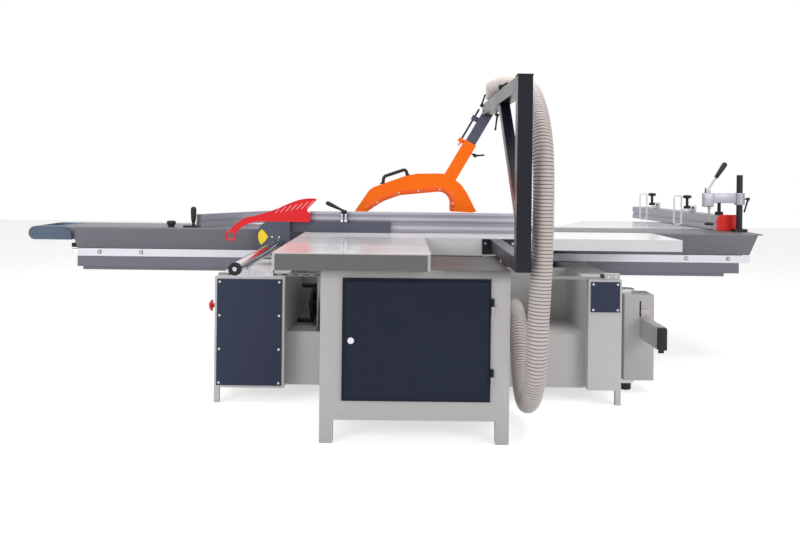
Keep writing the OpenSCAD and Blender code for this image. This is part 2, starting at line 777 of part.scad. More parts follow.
function hose_along(s) = let (k = hose_index(s, 0, hose_steps))
    hose_fine[k] + (hose_fine[k + 1] - hose_fine[k]) * (s - hose_run[k]) / (hose_run[k + 1] - hose_run[k]);
function unit(v) = v / norm(v);
function hose_dir(s) = unit(hose_along(min(hose_length - 0.01, s + 4)) - hose_along(max(0, s - 4)));
hose_sides = 8;
side_ref = [1, 0, 0];
function hose_way(s) = s <= 0 ? unit(hose_path[1] - hose_path[0])
    : s >= hose_length ? unit(hose_path[hose_n - 1] - hose_path[hose_n - 2]) : hose_dir(s);
function hose_ring(s, r) = let (t = hose_way(s),
        n = unit(side_ref - t * (side_ref * t)), b = cross(t, n), c = hose_along(min(s, hose_length - 0.001)))
    [for (j = [0:hose_sides - 1]) c + r * (cos(360 * j / hose_sides) * n + sin(360 * j / hose_sides) * b)];
hose_end_run = 60;
hose_pitch = (hose_length - 2 * hose_end_run) / hose_ribs;
rib_h = 3;
hose_r = hose_d / 2;
hose_outer = concat([0], [for (i = [0:hose_ribs]) each
    (i < hose_ribs ? [hose_end_run + i * hose_pitch, hose_end_run + (i + 0.5) * hose_pitch]
    : [hose_length - hose_end_run])], [hose_length]);
hose_inner = [for (i = [0:64]) hose_length * i / 64];
function rib_radius(i) = i == 0 || i >= len(hose_outer) - 2 ? hose_r : (i % 2 == 0 ? hose_r : hose_r - rib_h);
function quad(a, b, c, d) = [[a, b, c], [a, c, d]];
module dust_hose() color("#cdc6c0") {
    no = len(hose_outer);
    ni = len(hose_inner);
    m = hose_sides;
    pts = concat(
        [for (i = [0:no - 1]) each hose_ring(hose_outer[i], rib_radius(i))],
        [for (i = [0:ni - 1]) each hose_ring(hose_inner[i], hose_r - hose_wall)]);
    in0 = no * m;
    faces = concat(
        [for (i = [0:no - 2]) for (j = [0:m - 1]) let (k = (j + 1) % m)
            each quad(i * m + j, i * m + k, (i + 1) * m + k, (i + 1) * m + j)],
        [for (i = [0:ni - 2]) for (j = [0:m - 1]) let (k = (j + 1) % m)
            each quad(in0 + i * m + k, in0 + i * m + j, in0 + (i + 1) * m + j, in0 + (i + 1) * m + k)],
        [for (j = [0:m - 1]) let (k = (j + 1) % m) each quad(in0 + j, in0 + k, k, j)],
        [for (j = [0:m - 1]) let (k = (j + 1) % m)
            each quad((no - 1) * m + j, (no - 1) * m + k, in0 + (ni - 1) * m + k, in0 + (ni - 1) * m + j)]);
    polyhedron(points = pts, faces = [for (f = faces) [f[2], f[1], f[0]]]);
}
hose_far_pairs = [for (i = [0:12:hose_steps]) for (j = [i + 96:12:hose_steps])
    norm(hose_fine[i] - hose_fine[j])];
hose_gap = min(hose_far_pairs) - hose_d;
echo(hose_length = hose_length, hose_gap = hose_gap, hose_pitch = hose_pitch);
module hose_collars() color(light_grey) {
    p = hose_path[0];
    q = hose_path[hose_n - 1];
    duct_w = hose_d + 16;
    wall = 5;
    socket_d = 24;
    difference() {
        union() {
            rod_y(hose_d + 2 * wall, p[1], p[1] + 90, p[0], p[2]);
            along_arm() block([-arm_h / 2, -arm_t / 2, -150], [arm_h / 2, arm_t / 2, -40]);
            block([p[0] - 40, p[1] + 88, p[2] - 44], [p[0] + 40, blade_y + arm_t / 2 - 3, p[2] + 44]);
        }
        rod_y(hose_d - 2 * hose_wall, p[1] - 1, p[1] + socket_d, p[0], p[2]);
    }
    difference() {
        union() {
            rod_y(hose_d + 2 * wall, q[1], q[1] + socket_d + 8, q[0], q[2]);
            block([bulkhead_x[1] + sheet, q[1] + 12, q[2] - duct_w / 2],
                [q[0] + duct_w / 2, q[1] + 150, q[2]]);
        }
        rod_y(hose_d - 2 * hose_wall, q[1] - 1, q[1] + socket_d, q[0], q[2]);
    }
}

// Saw unit
function tilt_point(r, a) = [tilt_y - r * sin(a), tilt_z - r * cos(a)];
function sector(r0, r1, a0, a1, n = 14) = concat(
    [for (i = [0:n]) tilt_point(r1, a0 + (a1 - a0) * i / n)],
    [for (i = [0:n]) tilt_point(r0, a1 - (a1 - a0) * i / n)]);
rib_half = 6;
groove_half = rib_half + slide_fit;
rib_a = [8, 36];
groove_a = [6.5, 82.5];
rib_depth = 10;
module trunnions() color(steel) {
    for (side = [0, 1]) {
        x0 = side == 0 ? trunnion_front_x - 20 : trunnion_rear_x + end_plate_t + slide_fit;
        x1 = side == 0 ? trunnion_front_x - slide_fit : trunnion_rear_x + end_plate_t + 20;
        rib_x0 = side == 0 ? trunnion_front_x - slide_fit - 1 : trunnion_rear_x + end_plate_t - rib_depth;
        rib_x1 = side == 0 ? trunnion_front_x + rib_depth : trunnion_rear_x + end_plate_t + slide_fit + 1;
        slab_yz(x0, x1) {
            polygon(sector(trunnion_r - 22, trunnion_r + 28, rib_a[0] - 2, rib_a[1] + 2));
            translate([tilt_y - 175, tilt_z - 200]) square([70, table_h - table_plate - tilt_z + 200]);
        }
        slab_yz(rib_x0, rib_x1)
            polygon(sector(trunnion_r - rib_half, trunnion_r + rib_half, rib_a[0], rib_a[1]));
    }
}
module tilt_frame() color(dark_slate) {
    plate_z0 = carrier_z0;
    plate_z1 = carrier_z0 + 65;
    plate_y0 = carrier_y + carrier_t + slide_fit;
    gib_w = 20;
    gib_z1 = carrier_z1;
    for (side = [0, 1]) {
        x0 = side == 0 ? trunnion_front_x : trunnion_rear_x;
        groove_x0 = side == 0 ? x0 - 1 : x0 + end_plate_t - rib_depth - 1;
        groove_x1 = side == 0 ? x0 + rib_depth + 1 : x0 + end_plate_t + 1;
        difference() {
            slab_yz(x0, x0 + end_plate_t) {
                polygon(sector(100, 240, 2, 80));
                translate([plate_y0 - 5, plate_z0]) square([65, tilt_z - plate_z0 - 150]);
            }
            slab_yz(groove_x0, groove_x1)
                polygon(sector(trunnion_r - groove_half, trunnion_r + groove_half, groove_a[0], groove_a[1]));
        }
    }
    block([trunnion_front_x + end_plate_t - 1, plate_y0, plate_z0],
        [trunnion_rear_x + 1, plate_y0 + 15, plate_z1]);
    for (side = [0, 1]) {
        x0 = side == 0 ? carrier_x0 - slide_fit - gib_w : carrier_x1 + slide_fit;
        lip_x0 = side == 0 ? x0 : x0 - 15;
        block([x0, carrier_y, plate_z0], [x0 + gib_w, plate_y0 + 15, gib_z1]);
        block([lip_x0, carrier_y - slide_fit - 10, plate_z0],
            [lip_x0 + gib_w + 15, carrier_y - slide_fit, gib_z1]);
        block([x0, carrier_y - slide_fit - 10, plate_z0], [x0 + gib_w, carrier_y, gib_z1]);
    }
    difference() {
        block([trunnion_front_x + end_plate_t - 1, blade_y - 120, scoring_z - 38],
            [scoring_x, blade_y - 90, scoring_z - 8]);
        rod_y(scoring_motor_d, blade_y - 121, blade_y - 89, scoring_x, scoring_z);
    }
}
module scoring_motor() color(steel) {
    difference() {
        rod_y(scoring_motor_d, blade_y - 160, blade_y - 16, scoring_x, scoring_z);
        rod_y(scoring_shaft_d + 2 * run_fit, blade_y - 60, blade_y - 15, scoring_x, scoring_z);
    }
}
module toothed_disc(d, t, teeth, bore, y, x, z) {
    gullet = d * 0.03;
    slab_xz(y - t / 2, y + t / 2) translate([x, z]) difference() {
        polygon([for (i = [0:teeth - 1]) each let (a = 360 / teeth) [
            (d / 2) * [cos(i * a), sin(i * a)],
            (d / 2 - gullet) * [cos((i + 0.12) * a), sin((i + 0.12) * a)],
            (d / 2 - gullet) * [cos((i + 0.4) * a), sin((i + 0.4) * a)]]]);
        circle(d = bore);
    }
}
module scoring_blade() color(steel) {
    toothed_disc(scoring_d, blade_t, 24, scoring_shaft_d - 1, blade_y, scoring_x, scoring_z);
    rod_y(scoring_shaft_d, blade_y - 58, blade_y + 8, scoring_x, scoring_z);
    rod_y(44, blade_y - 12, blade_y + 6, scoring_x, scoring_z);
}
motor_pad_x = 8;
module arbor_carrier() color(dark_slate) {
    z0 = carrier_z0;
    z1 = carrier_z1;
    housing_d = arbor_d + 34;
    slab_t = 12;
    slab_z = motor_z + motor_d / 2;
    difference() {
        union() {
            block([carrier_x0, carrier_y, z0], [carrier_x1, carrier_y + carrier_t, z1]);
            rod_y(housing_d, carrier_y, blade_y - 30, blade_x, arbor_z);
            block([motor_x + motor_pad_x, motor_y0 + 20, slab_z],
                [motor_x + motor_pad_x + 70, carrier_y + 1, slab_z + slab_t]);
            block([knife_x0 + 8, carrier_y, arbor_z - 30], [knife_x0 + 48, blade_y - knife_t / 2, arbor_z]);
        }
        rod_y(arbor_d + 2 * run_fit, carrier_y - 1, blade_y, blade_x, arbor_z);
    }
}
module motor() color(steel) {
    fins = 18;
    pad = 40;
    difference() {
        union() {
            rod_y(motor_d - 12, motor_y0, motor_y1, motor_x, motor_z);
            for (i = [0:fins - 1]) let (y = motor_y0 + 8 + i * (motor_l - 20) / fins)
                rod_y(motor_d - 2, y, y + 5, motor_x, motor_z);
            block([motor_x + motor_pad_x, motor_y0 + 40, motor_z],
                [motor_x + motor_pad_x + pad, motor_y1 - 30, motor_z + motor_d / 2]);
            block([motor_x + 50, motor_y0 + 70, motor_z - 50],
                [motor_x + motor_d / 2 + 30, motor_y0 + 170, motor_z + 40]);
        }
        rod_y(motor_shaft_d + 2 * run_fit, motor_y1 - 50, motor_y1 + 1, motor_x, motor_z);
    }
}
module motor_pulley() color(steel) {
    rod_y(motor_shaft_d, motor_y1 - 46, pulley_y1, motor_x, motor_z);
    rod_y(motor_pulley_d, pulley_y0, pulley_y1, motor_x, motor_z);
}
module drive_belt() color(black) {
    gap = slide_fit;
    slab_xz(pulley_y0 + 8, pulley_y1 - 8) difference() {
        hull() {
            translate([motor_x, motor_z]) circle(d = motor_pulley_d + 2 * (gap + belt_t));
            translate([blade_x, arbor_z]) circle(d = arbor_pulley_d + 2 * (gap + belt_t));
        }
        hull() {
            translate([motor_x, motor_z]) circle(d = motor_pulley_d + 2 * gap);
            translate([blade_x, arbor_z]) circle(d = arbor_pulley_d + 2 * gap);
        }
    }
}
module main_arbor() color(steel) {
    rod_y(arbor_d, pulley_y0 - 6, blade_y + 26, blade_x, arbor_z);
    rod_y(arbor_pulley_d, pulley_y0, pulley_y1, blade_x, arbor_z);
    rod_y(86, blade_y - 20, blade_y - blade_t / 2, blade_x, arbor_z);
    rod_y(86, blade_y + blade_t / 2, blade_y + 12, blade_x, arbor_z);
}
module main_blade() color(bright) toothed_disc(blade_d, blade_t, 48, arbor_d, blade_y, blade_x, arbor_z);
module riving_knife() color(bright) {
    slab_xz(blade_y - knife_t / 2, blade_y + knife_t / 2) difference() {
        polygon(concat([[knife_x0, arbor_z - 30], [knife_x0 + 52, arbor_z - 30]],
            arc([knife_x0 + 2, arbor_z + 60], 50, 0, 60, 6), [[knife_x0 - 24, table_h + blade_rise - 8],
            [knife_x0 - 40, table_h + blade_rise - 20]]));
        translate([blade_x, arbor_z]) circle(d = blade_d + 8);
    }
}
module handwheel(y, grip_a) {
    rim = 22;
    spoke = 14;
    r = (wheel_d - rim) / 2;
    hub = 44;
    grip = 88;
    translate([wheel_x, y, wheel_z]) {
        rotate([0, 90, 0]) rotate_extrude() translate([r, 0]) circle(d = rim);
        rotate([0, 90, 0]) translate([0, 0, -hub / 2])
            cylinder(d = hub, h = hub / 2 - wheel_x + bulkhead_x[0] - 1);
        rotate([0, 90, 0]) cylinder(d = wheel_shaft_d, h = bulkhead_x[0] - wheel_x + 60);
        for (a = [0:120:240]) rotate([a + grip_a, 0, 0]) cylinder(d = spoke, h = r);
        rotate([grip_a, 0, 0]) translate([0, 0, r]) rotate([0, -90, 0]) cylinder(d = 26, h = grip);
    }
}
module height_wheel() color(black) handwheel(height_wheel_y, 165);
module tilt_wheel() color(black) handwheel(tilt_wheel_y, 15);

// Sliding carriage
module carriage() color(anodised) {
    y0 = carriage_y0;
    y1 = carriage_y1;
    difference() {
        union() {
            slab_yz(carriage_x0, carriage_x1) polygon([[y0, table_h],
                [y1, table_h], [y1, table_h - flange_t],
                [y1 - slope_d, carriage_z0], [y0 + slope_d, carriage_z0], [y0, table_h - flange_t]]);
            block([carriage_x0 - flange_over, y0, table_h - flange_t],
                [carriage_x1 + flange_over, y1, table_h]);
            block([carriage_x0, keel_y - keel_w / 2, carriage_z0 - keel_drop],
                [carriage_x1, keel_y + keel_w / 2, carriage_z0 + 1]);
        }
        slab_yz(carriage_x0 - 1, carriage_x1 + 1) polygon([[y0 + 3 * carriage_skin, table_h - carriage_top],
            [y1 - 3 * carriage_skin, table_h - carriage_top],
                [y1 - slope_d - 4, carriage_z0 + carriage_skin],
            [y0 + slope_d + 4, carriage_z0 + carriage_skin]]);
        block([carriage_x0 - flange_over - 1, slot_y - slot_w / 2, table_h - slot_depth],
            [carriage_x1 + flange_over + 1, slot_y + slot_w / 2, table_h + 1]);
        block([carriage_x0 - flange_over - 1, slot_y - slot_wide / 2, table_h - 2 * slot_depth],
            [carriage_x1 + flange_over + 1, slot_y + slot_wide / 2, table_h - slot_depth]);
    }
}
module end_handle() color("#5f6b7c") {
    x0 = carriage_x0 - handle_l;
    z0 = table_h - handle_h;
    r = handle_h / 2;
    inset = 14;
    wall = 46;
    difference() {
        slab_xz(carriage_y0 + inset, carriage_y1 - inset) {
            translate([x0 + r, z0 + r]) circle(r = r);
            translate([x0 + r, z0]) square([handle_l - r, handle_h]);
        }
        block([carriage_x0 - flange_over, carriage_y0, table_h - flange_t],
            [carriage_x0 + 1, carriage_y1, table_h + 1]);
        block([x0 + wall, carriage_y0 + 2 * wall, z0 - 1],
            [carriage_x0 - 2 * wall, carriage_y1 - 2 * wall, table_h + 1]);
    }
}
outrigger_y1 = 2700;
outrigger_x1 = 2150;
outrigger_z1 = table_h + outrigger_rise;
function outrigger_shape(in) = [[1032 + 1.3 * in, carriage_y1 + in], [outrigger_x1 - in, carriage_y1 + in],
    [outrigger_x1 - in, outrigger_y1 - in], [1420 + 0.4 * in, outrigger_y1 - in]];
module outrigger() color(light_grey) {
    h = 40;
    rim = 30;
    skin = 4;
    difference() {
        slab_xy(outrigger_z1 - h, outrigger_z1) polygon(outrigger_shape(0));
        slab_xy(outrigger_z1 - h - 1, outrigger_z1 - skin) polygon(outrigger_shape(rim));
    }
}
front_fence_pivot = [-1240, carriage_y0 + 100];
front_fence_a = -32;
pivot_d = 12;
pivot_l = 50;
module front_fence() color(anodised) {
    l = 700;
    t = 38;
    h = 80;
    translate([front_fence_pivot[0], front_fence_pivot[1], table_h + slide_fit]) rotate([0, 0, front_fence_a])
    difference() {
        block([-t / 2, -20, 0], [t / 2, l, h]);
        block([t / 2 - 8, -21, 30], [t / 2 + 1, l + 1, 44]);
        rod_z(pivot_d + 2 * run_fit, -1, pivot_l + slide_fit, 0, 0);
    }
}
module front_clamp() color(black) {
    x = front_fence_pivot[0] - 62;
    y = slot_y;
    rod_z(pivot_d, table_h, table_h + pivot_l, front_fence_pivot[0], front_fence_pivot[1]);
    rod_z(14, table_h, table_h + 60, x, y);
    rod_z(44, table_h, table_h + 10, x, y);
    rod_z(36, table_h + 40, table_h + 128, x, y);
    rod_z(40, table_h, table_h + 12, x - 90, y);
    rod_z(56, table_h + 12, table_h + 40, x - 90, y);
}

// Crosscut fence, stops and hold-down clamp
crosscut_x = 2141;
crosscut_z0 = table_h + outrigger_rise + 4;
crosscut_z1 = crosscut_z0 + crosscut_h;
crosscut_x0 = crosscut_x - crosscut_t / 2;
crosscut_x1 = crosscut_x + crosscut_t / 2;
crosscut_pivot = [crosscut_x, crosscut_y0 + pivot_in];
stop_ys = [crosscut_y0 + 420, crosscut_y1 - 418];
flip_x = crosscut_x0 + 30;
flip_z = crosscut_z1 + 16;
flip_pin_d = 12;
flip_w = 26;
module crosscut_placed() {
    translate([crosscut_pivot[0], crosscut_pivot[1], 0]) rotate([0, 0, crosscut_a])
        translate([-crosscut_pivot[0], -crosscut_pivot[1], 0]) children();
}
module crosscut_fence() color(anodised) crosscut_placed() {
    ear = 8;
    slot = 12;
    difference() {
        union() {
            block([crosscut_x0, crosscut_y0, crosscut_z0], [crosscut_x1, crosscut_y1, crosscut_z1]);
            block([crosscut_x0, crosscut_y0, table_h + slide_fit],
                [crosscut_x1, crosscut_y0 + 70, crosscut_z0 + 1]);
        }
        block([crosscut_x0 - 1, crosscut_y0 - 1, crosscut_z0 + 34],
            [crosscut_x0 + 9, crosscut_y1 + 1, crosscut_z0 + 48]);
        for (x = [crosscut_x - 10, crosscut_x1 - 30])
            block([x, crosscut_y0 - 1, crosscut_z1 - 9], [x + slot, crosscut_y1 + 1, crosscut_z1 + 1]);
        rod_z(pivot_d + 2 * run_fit, table_h, table_h + pivot_l + slide_fit,
            crosscut_pivot[0], crosscut_pivot[1]);
    }
    for (y = stop_ys) {
        rod_y(flip_pin_d, y - flip_w / 2 - ear, y + flip_w / 2 + ear, flip_x, flip_z);
        for (s = [y - flip_w / 2 - ear, y + flip_w / 2])
            block([flip_x - 10, s + 0.5, crosscut_z1 - 1], [flip_x + 10, s + ear - 0.5, flip_z + 10]);
    }
}
module fence_end_cap() color(red) crosscut_placed() {
    side = 12;
    ease = 16;
    x0 = crosscut_x0 - side;
    x1 = crosscut_x1 + side;
    z0 = table_h + 2;
    z1 = crosscut_z1 + 6;
    translate([0, crosscut_y0, 0]) rotate([90, 0, 0]) linear_extrude(16)
        polygon([[x0, z0], [x1, z0], [x1, z1], [x0 + 2 * ease, z1], [x0 + ease / 2, z1 - ease / 2],
            [x0, z1 - 2 * ease]]);
}
module flip_stop(y) crosscut_placed() {
    w = flip_w - 1;
    flag_x = crosscut_x0 - 114;
    flag_w = 66;
    flag_t = 12;
    flag_z0 = outrigger_z1 + 8;
    flag_z1 = flip_z + 108;
    rim = 10;
    knob_x = crosscut_x0 - 12;
    difference() {
        union() {
            rod_y(26, y - w / 2, y + w / 2, flip_x, flip_z);
            block([flag_x + flag_w - 1, y - w / 2, flip_z], [flip_x, y + w / 2, flip_z + 12]);
            block([flag_x, y - flag_t / 2, flag_z0], [flag_x + flag_w, y + flag_t / 2, flag_z1]);
            rod_z(46, flip_z + 11, flip_z + 30, knob_x, y);
            rod_z(20, flip_z + 29, flip_z + 83, knob_x, y);
            rod_z(60, flip_z + 82, flip_z + 106, knob_x, y);
        }
        rod_y(flip_pin_d + 2 * run_fit, y - w, y + w, flip_x, flip_z);
        block([flag_x + rim, y - flag_t, flag_z0 + rim],
            [flag_x + flag_w - rim, y + flag_t, flag_z1 - rim]);
    }
}
module near_stop() color(bright) flip_stop(stop_ys[0]);
module far_stop() color(bright) flip_stop(stop_ys[1]);
column_x = 2191;
column_y = carriage_y0 + 238 - 20;
column_d = 38;
column_z1 = table_h + 364;
arm_z0 = table_h + 172;
arm_z1 = table_h + 248;
lever_pivot = [1985, table_h + 264];
module clamp_column() color(black) {
    rod_z(column_d, table_h, column_z1, column_x, column_y);
    block([column_x - 40, column_y - 34, table_h], [column_x + 40, column_y + 34, table_h + 18]);
    rod_z(pivot_d, table_h, table_h + pivot_l, crosscut_pivot[0], crosscut_pivot[1]);
}
module clamp_arm() color(bright) {
    boss = column_d + 26;
    grip_x = extent_x1;
    spindle_x = lever_pivot[0] + 12;
    difference() {
        union() {
            rod_z(boss, arm_z0, arm_z1, column_x, column_y);
            block([lever_pivot[0] - 20, column_y - 16, arm_z0 + 18],
                [column_x, column_y + 16, arm_z1 - 12]);
            for (s = [-16, 8]) block([lever_pivot[0] - 14, column_y + s, arm_z1 - 20],
                [lever_pivot[0] + 14, column_y + s + 8, lever_pivot[1] + 12]);
            rod_z(14, table_h + 56, arm_z0 + 30, spindle_x, column_y);
            rod_z(56, table_h + 40, table_h + 58, spindle_x, column_y);
            rod_x(16, column_x, grip_x - 20, column_y, arm_z0 + 38);
            rod_x(26, grip_x - 34, grip_x, column_y, arm_z0 + 38);
        }
        rod_z(column_d + 2 * run_fit, arm_z0 - 1, arm_z1 + 1, column_x, column_y);
        rod_y(10 + 2 * run_fit, column_y - 20, column_y + 20, lever_pivot[0], lever_pivot[1]);
    }
}
module clamp_lever() color(black) {
    x = lever_pivot[0];
    z = lever_pivot[1];
    rod_y(10, column_y - 18, column_y + 18, x, z);
    translate([x, column_y, z]) rotate([0, 38, 0]) {
        block([-9, -7.5, -8], [9, 7.5, 110]);
        translate([0, 0, 100]) cylinder(d1 = 26, d2 = 34, h = 112);
    }
}

// Rip fence
module rip_carrier() color(dark_slate) {
    r = 70;
    z1 = casting_z1;
    difference() {
        union() {
            slab_xz(casting_y0, casting_y1) polygon(concat([[casting_x1, casting_z0], [casting_x1, z1]],
                arc([casting_x0 + r, z1 - r], r, 90, 180, 10), [[casting_x0, casting_z0 + 40],
                    [casting_x0 + 30, casting_z0]]));
            block([casting_x1 - 1, carrier_y0, table_h + fence_lift], [carrier_bar_x1, carrier_y1, z1]);
            for (x = [lever_x - 12, lever_x + 12])
                rod_z(14, z1 - 1, z1 + 30, x, carrier_y0 + carrier_bar_t / 2);
            block([lever_x - 22, carrier_y0 + 8, z1 + 28], [lever_x + 22, carrier_y1 - 8, z1 + 40]);
        }
        rod_y(rail_d + 2 * run_fit, casting_y0 - 1, casting_y1 + 1, rail_x, rail_z);
    }
}
module rip_fence() color(bright) {
    x1 = fence_x0 + fence_l;
    z0 = table_h + fence_lift;
    z1 = table_h + fence_lift + fence_h;
    mid = z0 + fence_h * 0.48;
    difference() {
        block([fence_x0, fence_y0, z0], [x1, fence_y1, z1]);
        block([fence_x0 - 1, fence_y0 - 1, mid], [x1 + 1, fence_y0 + 8, mid + 12]);
        block([fence_x0 - 1, fence_y0 + 10, z0 + 8], [x1 + 1, fence_y1 - 6, mid - 8]);
        block([fence_x0 - 1, fence_y0 + 6, mid + 20], [x1 + 1, fence_y1 - 6, z1 - 8]);
    }
}
module rip_lever() color(black) {
    y = carrier_y0 + carrier_bar_t / 2;
    z = casting_z1 + 40 + slide_fit;
    difference() {
        union() {
            rod_z(30, z, z + 18, lever_x, y);
            translate([lever_x, y, z + 9]) rotate([0, -62, 0]) difference() {
                hull() {
                    translate([0, 0, 20]) sphere(d = 14, $fn = hull_fn);
                    translate([0, 0, 125]) scale([0.7, 1, 1]) sphere(d = 34, $fn = hull_fn);
                }
                translate([-30, 0, 126]) rotate([0, 90, 0]) cylinder(d = 14, h = 60);
            }
        }
        rod_z(8, z - 1, z + 6, lever_x, y);
    }
}
module push_stick() color(red) {
    z1 = casting_z1;
    y = carrier_y0 + 8;
    t = 24;
    ring = [-955, table_h - 14];
    slab_xz(y, y + t) difference() {
        union() {
            translate(ring) circle(r = 36);
            polygon(concat(above([[-932, -40], [-870, 22]]),
                [[casting_x0 + 45, z1 + 6], [casting_x0 + 60, z1 + slide_fit], [-512, z1 + slide_fit]],
                [[-512, z1 + 48], [-532, z1 + 70], [-520, z1 + 76]],
                above([[-478, 205], [-540, 203], [-640, 164], [-760, 98]]),
                above([[-830, 86], [-905, 40], [-986, 6]])));
        }
        translate(ring) circle(r = 20);
        for (i = [0:5]) translate([-676 + 27 * i, table_h + 122 + 10 * i]) rotate(42)
            square([44, 7], center = true);
    }
}

// Swing arm of the outrigger
swing_x0 = 1242;
swing_y0 = 920;
swing_d = 160;
swing_z0 = 72;
swing_z1 = swing_z0 + swing_h;
swing_pivot = [swing_x0 + 30, swing_y0 + 80];
swing_pin_d = 40;
swing_pin_l = 24;
tele_x = swing_x0 + 108;
tele_z0 = 303;
tele_y = [637, 2250];
module arm_bracket() color(steel) {
    w = 90;
    t = 24;
    y0 = swing_pivot[1] - w / 2;
    for (top = [0, 1]) {
        z = top == 1 ? swing_z1 + slide_fit : swing_z0 - slide_fit - t;
        web_z1 = top == 1 ? z + t + 40 : foot_h + 60;
        difference() {
        union() {
            block([rear_tower_x1, y0, z], [swing_pivot[0], y0 + w, z + t]);
            rod_z(w, z, z + t, swing_pivot[0], swing_pivot[1]);
            block([rear_tower_x1, y0, z], [rear_tower_x1 + 12, y0 + w, web_z1]);
        }
        rod_z(swing_pin_d + 2 * run_fit, z - 1, z + t + 1, swing_pivot[0], swing_pivot[1]);
        }
    }
}
module swing_arm() color(light_grey) {
    x1 = swing_x0 + swing_w;
    y1 = swing_y0 + swing_d;
    fit = slide_fit;
    difference() {
        union() {
            block([swing_x0, swing_y0, swing_z0], [x1, y1, swing_z1]);
            rod_z(swing_pin_d, swing_z0 - swing_pin_l, swing_z1 + swing_pin_l,
                swing_pivot[0], swing_pivot[1]);
        }
        block([tele_x - tele_t / 2 - fit, swing_y0 - 1, tele_z0 - fit],
            [tele_x + tele_t / 2 + fit, y1 + 1, tele_z0 + tele_h + fit]);
        for (z = [[swing_z0 + sheet, tele_z0 - sheet - fit],
            [tele_z0 + tele_h + sheet + fit, swing_z1 - sheet]])
            block([tele_x - tele_t, swing_y0 + sheet, z[0]], [x1 - sheet, y1 + 1, z[1]]);
    }
}
module arm_beam() color(bright) {
    wall = 5;
    strut = 50;
    z1 = tele_z0 + tele_h;
    difference() {
        block([tele_x - tele_t / 2, tele_y[0], tele_z0], [tele_x + tele_t / 2, tele_y[1], z1]);
        block([tele_x - tele_t / 2 + wall, tele_y[0] + 12, tele_z0 + wall],
            [tele_x + tele_t / 2 - wall, tele_y[1] + 1, z1 - wall]);
    }
    difference() {
        rod_z(strut, z1, outrigger_z1 - 44, tele_x, tele_y[1] - 40);
        rod_z(strut - 10, z1 + 10, outrigger_z1 - 43, tele_x, tele_y[1] - 40);
    }
}

placed() base_frame();
placed() electrical_cover();
placed() rear_cover();
placed() machine_screws();
placed() cabinet();
placed() front_table();
placed() main_table();
placed() rear_table();
placed() throat_plate();
placed() slide_beam();
placed() guide_strip();
placed() fence_rail();
placed() rail_cap();
placed() rail_brackets();
placed() tie_rail();
placed() guard_post();
placed() post_brackets();
placed() arm_tube();
placed() dust_hose();
placed() hose_collars();
placed() trunnions();
placed() arm_bracket();
placed() door();
placed() door_lock();
placed() stop_button();
placed() height_wheel();
placed() tilt_wheel();
placed() tilt_frame();
placed() scoring_motor();
placed() scoring_blade();
placed() arbor_carrier();
placed() motor();
placed() drive_belt();
placed() riving_knife();
placed() main_arbor();
placed() main_blade();
placed() motor_pulley();
placed() roller_cage();
placed() carriage();
placed() end_handle();
placed() outrigger();
placed() front_fence();
placed() front_clamp();
placed() crosscut_fence();
placed() fence_end_cap();
placed() near_stop();
placed() far_stop();
placed() clamp_column();
placed() clamp_arm();
placed() clamp_lever();
placed() rip_carrier();
placed() rip_fence();
placed() rip_lever();
placed() push_stick();
placed() guard_hood();
placed() hood_handle();
placed() hood_neck();
placed() guide_rod();
placed() swing_arm();
placed() arm_beam();
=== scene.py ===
import json
import math
import bpy
import numpy as np
from mathutils import Matrix, Vector


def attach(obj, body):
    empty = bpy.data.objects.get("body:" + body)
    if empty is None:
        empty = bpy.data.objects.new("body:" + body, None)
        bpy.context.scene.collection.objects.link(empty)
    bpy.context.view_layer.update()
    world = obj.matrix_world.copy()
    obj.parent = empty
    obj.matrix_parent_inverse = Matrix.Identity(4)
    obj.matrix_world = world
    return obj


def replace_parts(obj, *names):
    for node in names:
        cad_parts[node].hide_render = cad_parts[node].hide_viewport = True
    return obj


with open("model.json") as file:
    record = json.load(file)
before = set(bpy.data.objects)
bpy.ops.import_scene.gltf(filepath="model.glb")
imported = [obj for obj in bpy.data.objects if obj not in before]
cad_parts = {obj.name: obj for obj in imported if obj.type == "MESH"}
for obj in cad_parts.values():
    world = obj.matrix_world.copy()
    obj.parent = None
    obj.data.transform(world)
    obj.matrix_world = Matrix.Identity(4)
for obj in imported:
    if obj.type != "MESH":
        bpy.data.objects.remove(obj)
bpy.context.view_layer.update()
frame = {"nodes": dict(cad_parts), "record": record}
nodes = frame["nodes"]
scene = bpy.context.scene
scene.view_settings.view_transform = "Standard"
print("frame loaded:", len(nodes), "nodes")

# machine millimetres, from the near table edge and the middle of the photo, to metres of the part
machineZero = np.array([3.0, -1566.0, 0.0])
alongX, alongY, alongZ = (1, 0, 0), (0, 1, 0), (0, 0, 1)
towardsFront = (0, -1, 0)


def mm(points):
    return (np.asarray(points, float) + machineZero) / 1000.0


def tone(r, g, b):  # screen colour 0-255 to linear
    c = np.array([r, g, b], float) / 255.0
    return tuple(float(v) for v in np.where(c <= 0.04045, c / 12.92, ((c + 0.055) / 1.055) ** 2.4))


# camera at the photo's place: level, with the lens shifted down
cameraSet = dict(at=(0, -3400, 1183), lens=35.55, shiftX=0.00125, shiftY=-0.115, roll=0.0113)
cameraData = bpy.data.cameras.new("camera")
cameraData.lens = cameraSet["lens"]
cameraData.sensor_width = 36.0
cameraData.shift_x = cameraSet["shiftX"]
cameraData.shift_y = cameraSet["shiftY"]
cameraData.clip_end = 100.0
camera = bpy.data.objects.new("camera", cameraData)
scene.collection.objects.link(camera)
camera.matrix_world = (Matrix.Translation(Vector(mm(cameraSet["at"]))) @ Matrix.Rotation(math.pi / 2, 4, "X")
                       @ Matrix.Rotation(cameraSet["roll"], 4, "Z"))
scene.camera = camera


# surfaces: rings of points joined ring to ring
def newMesh(name, points, faces):
    mesh = bpy.data.meshes.new(name)
    mesh.from_pydata(points.tolist(), [], faces)
    mesh.update()
    obj = bpy.data.objects.new(name, mesh)
    scene.collection.objects.link(obj)
    return obj


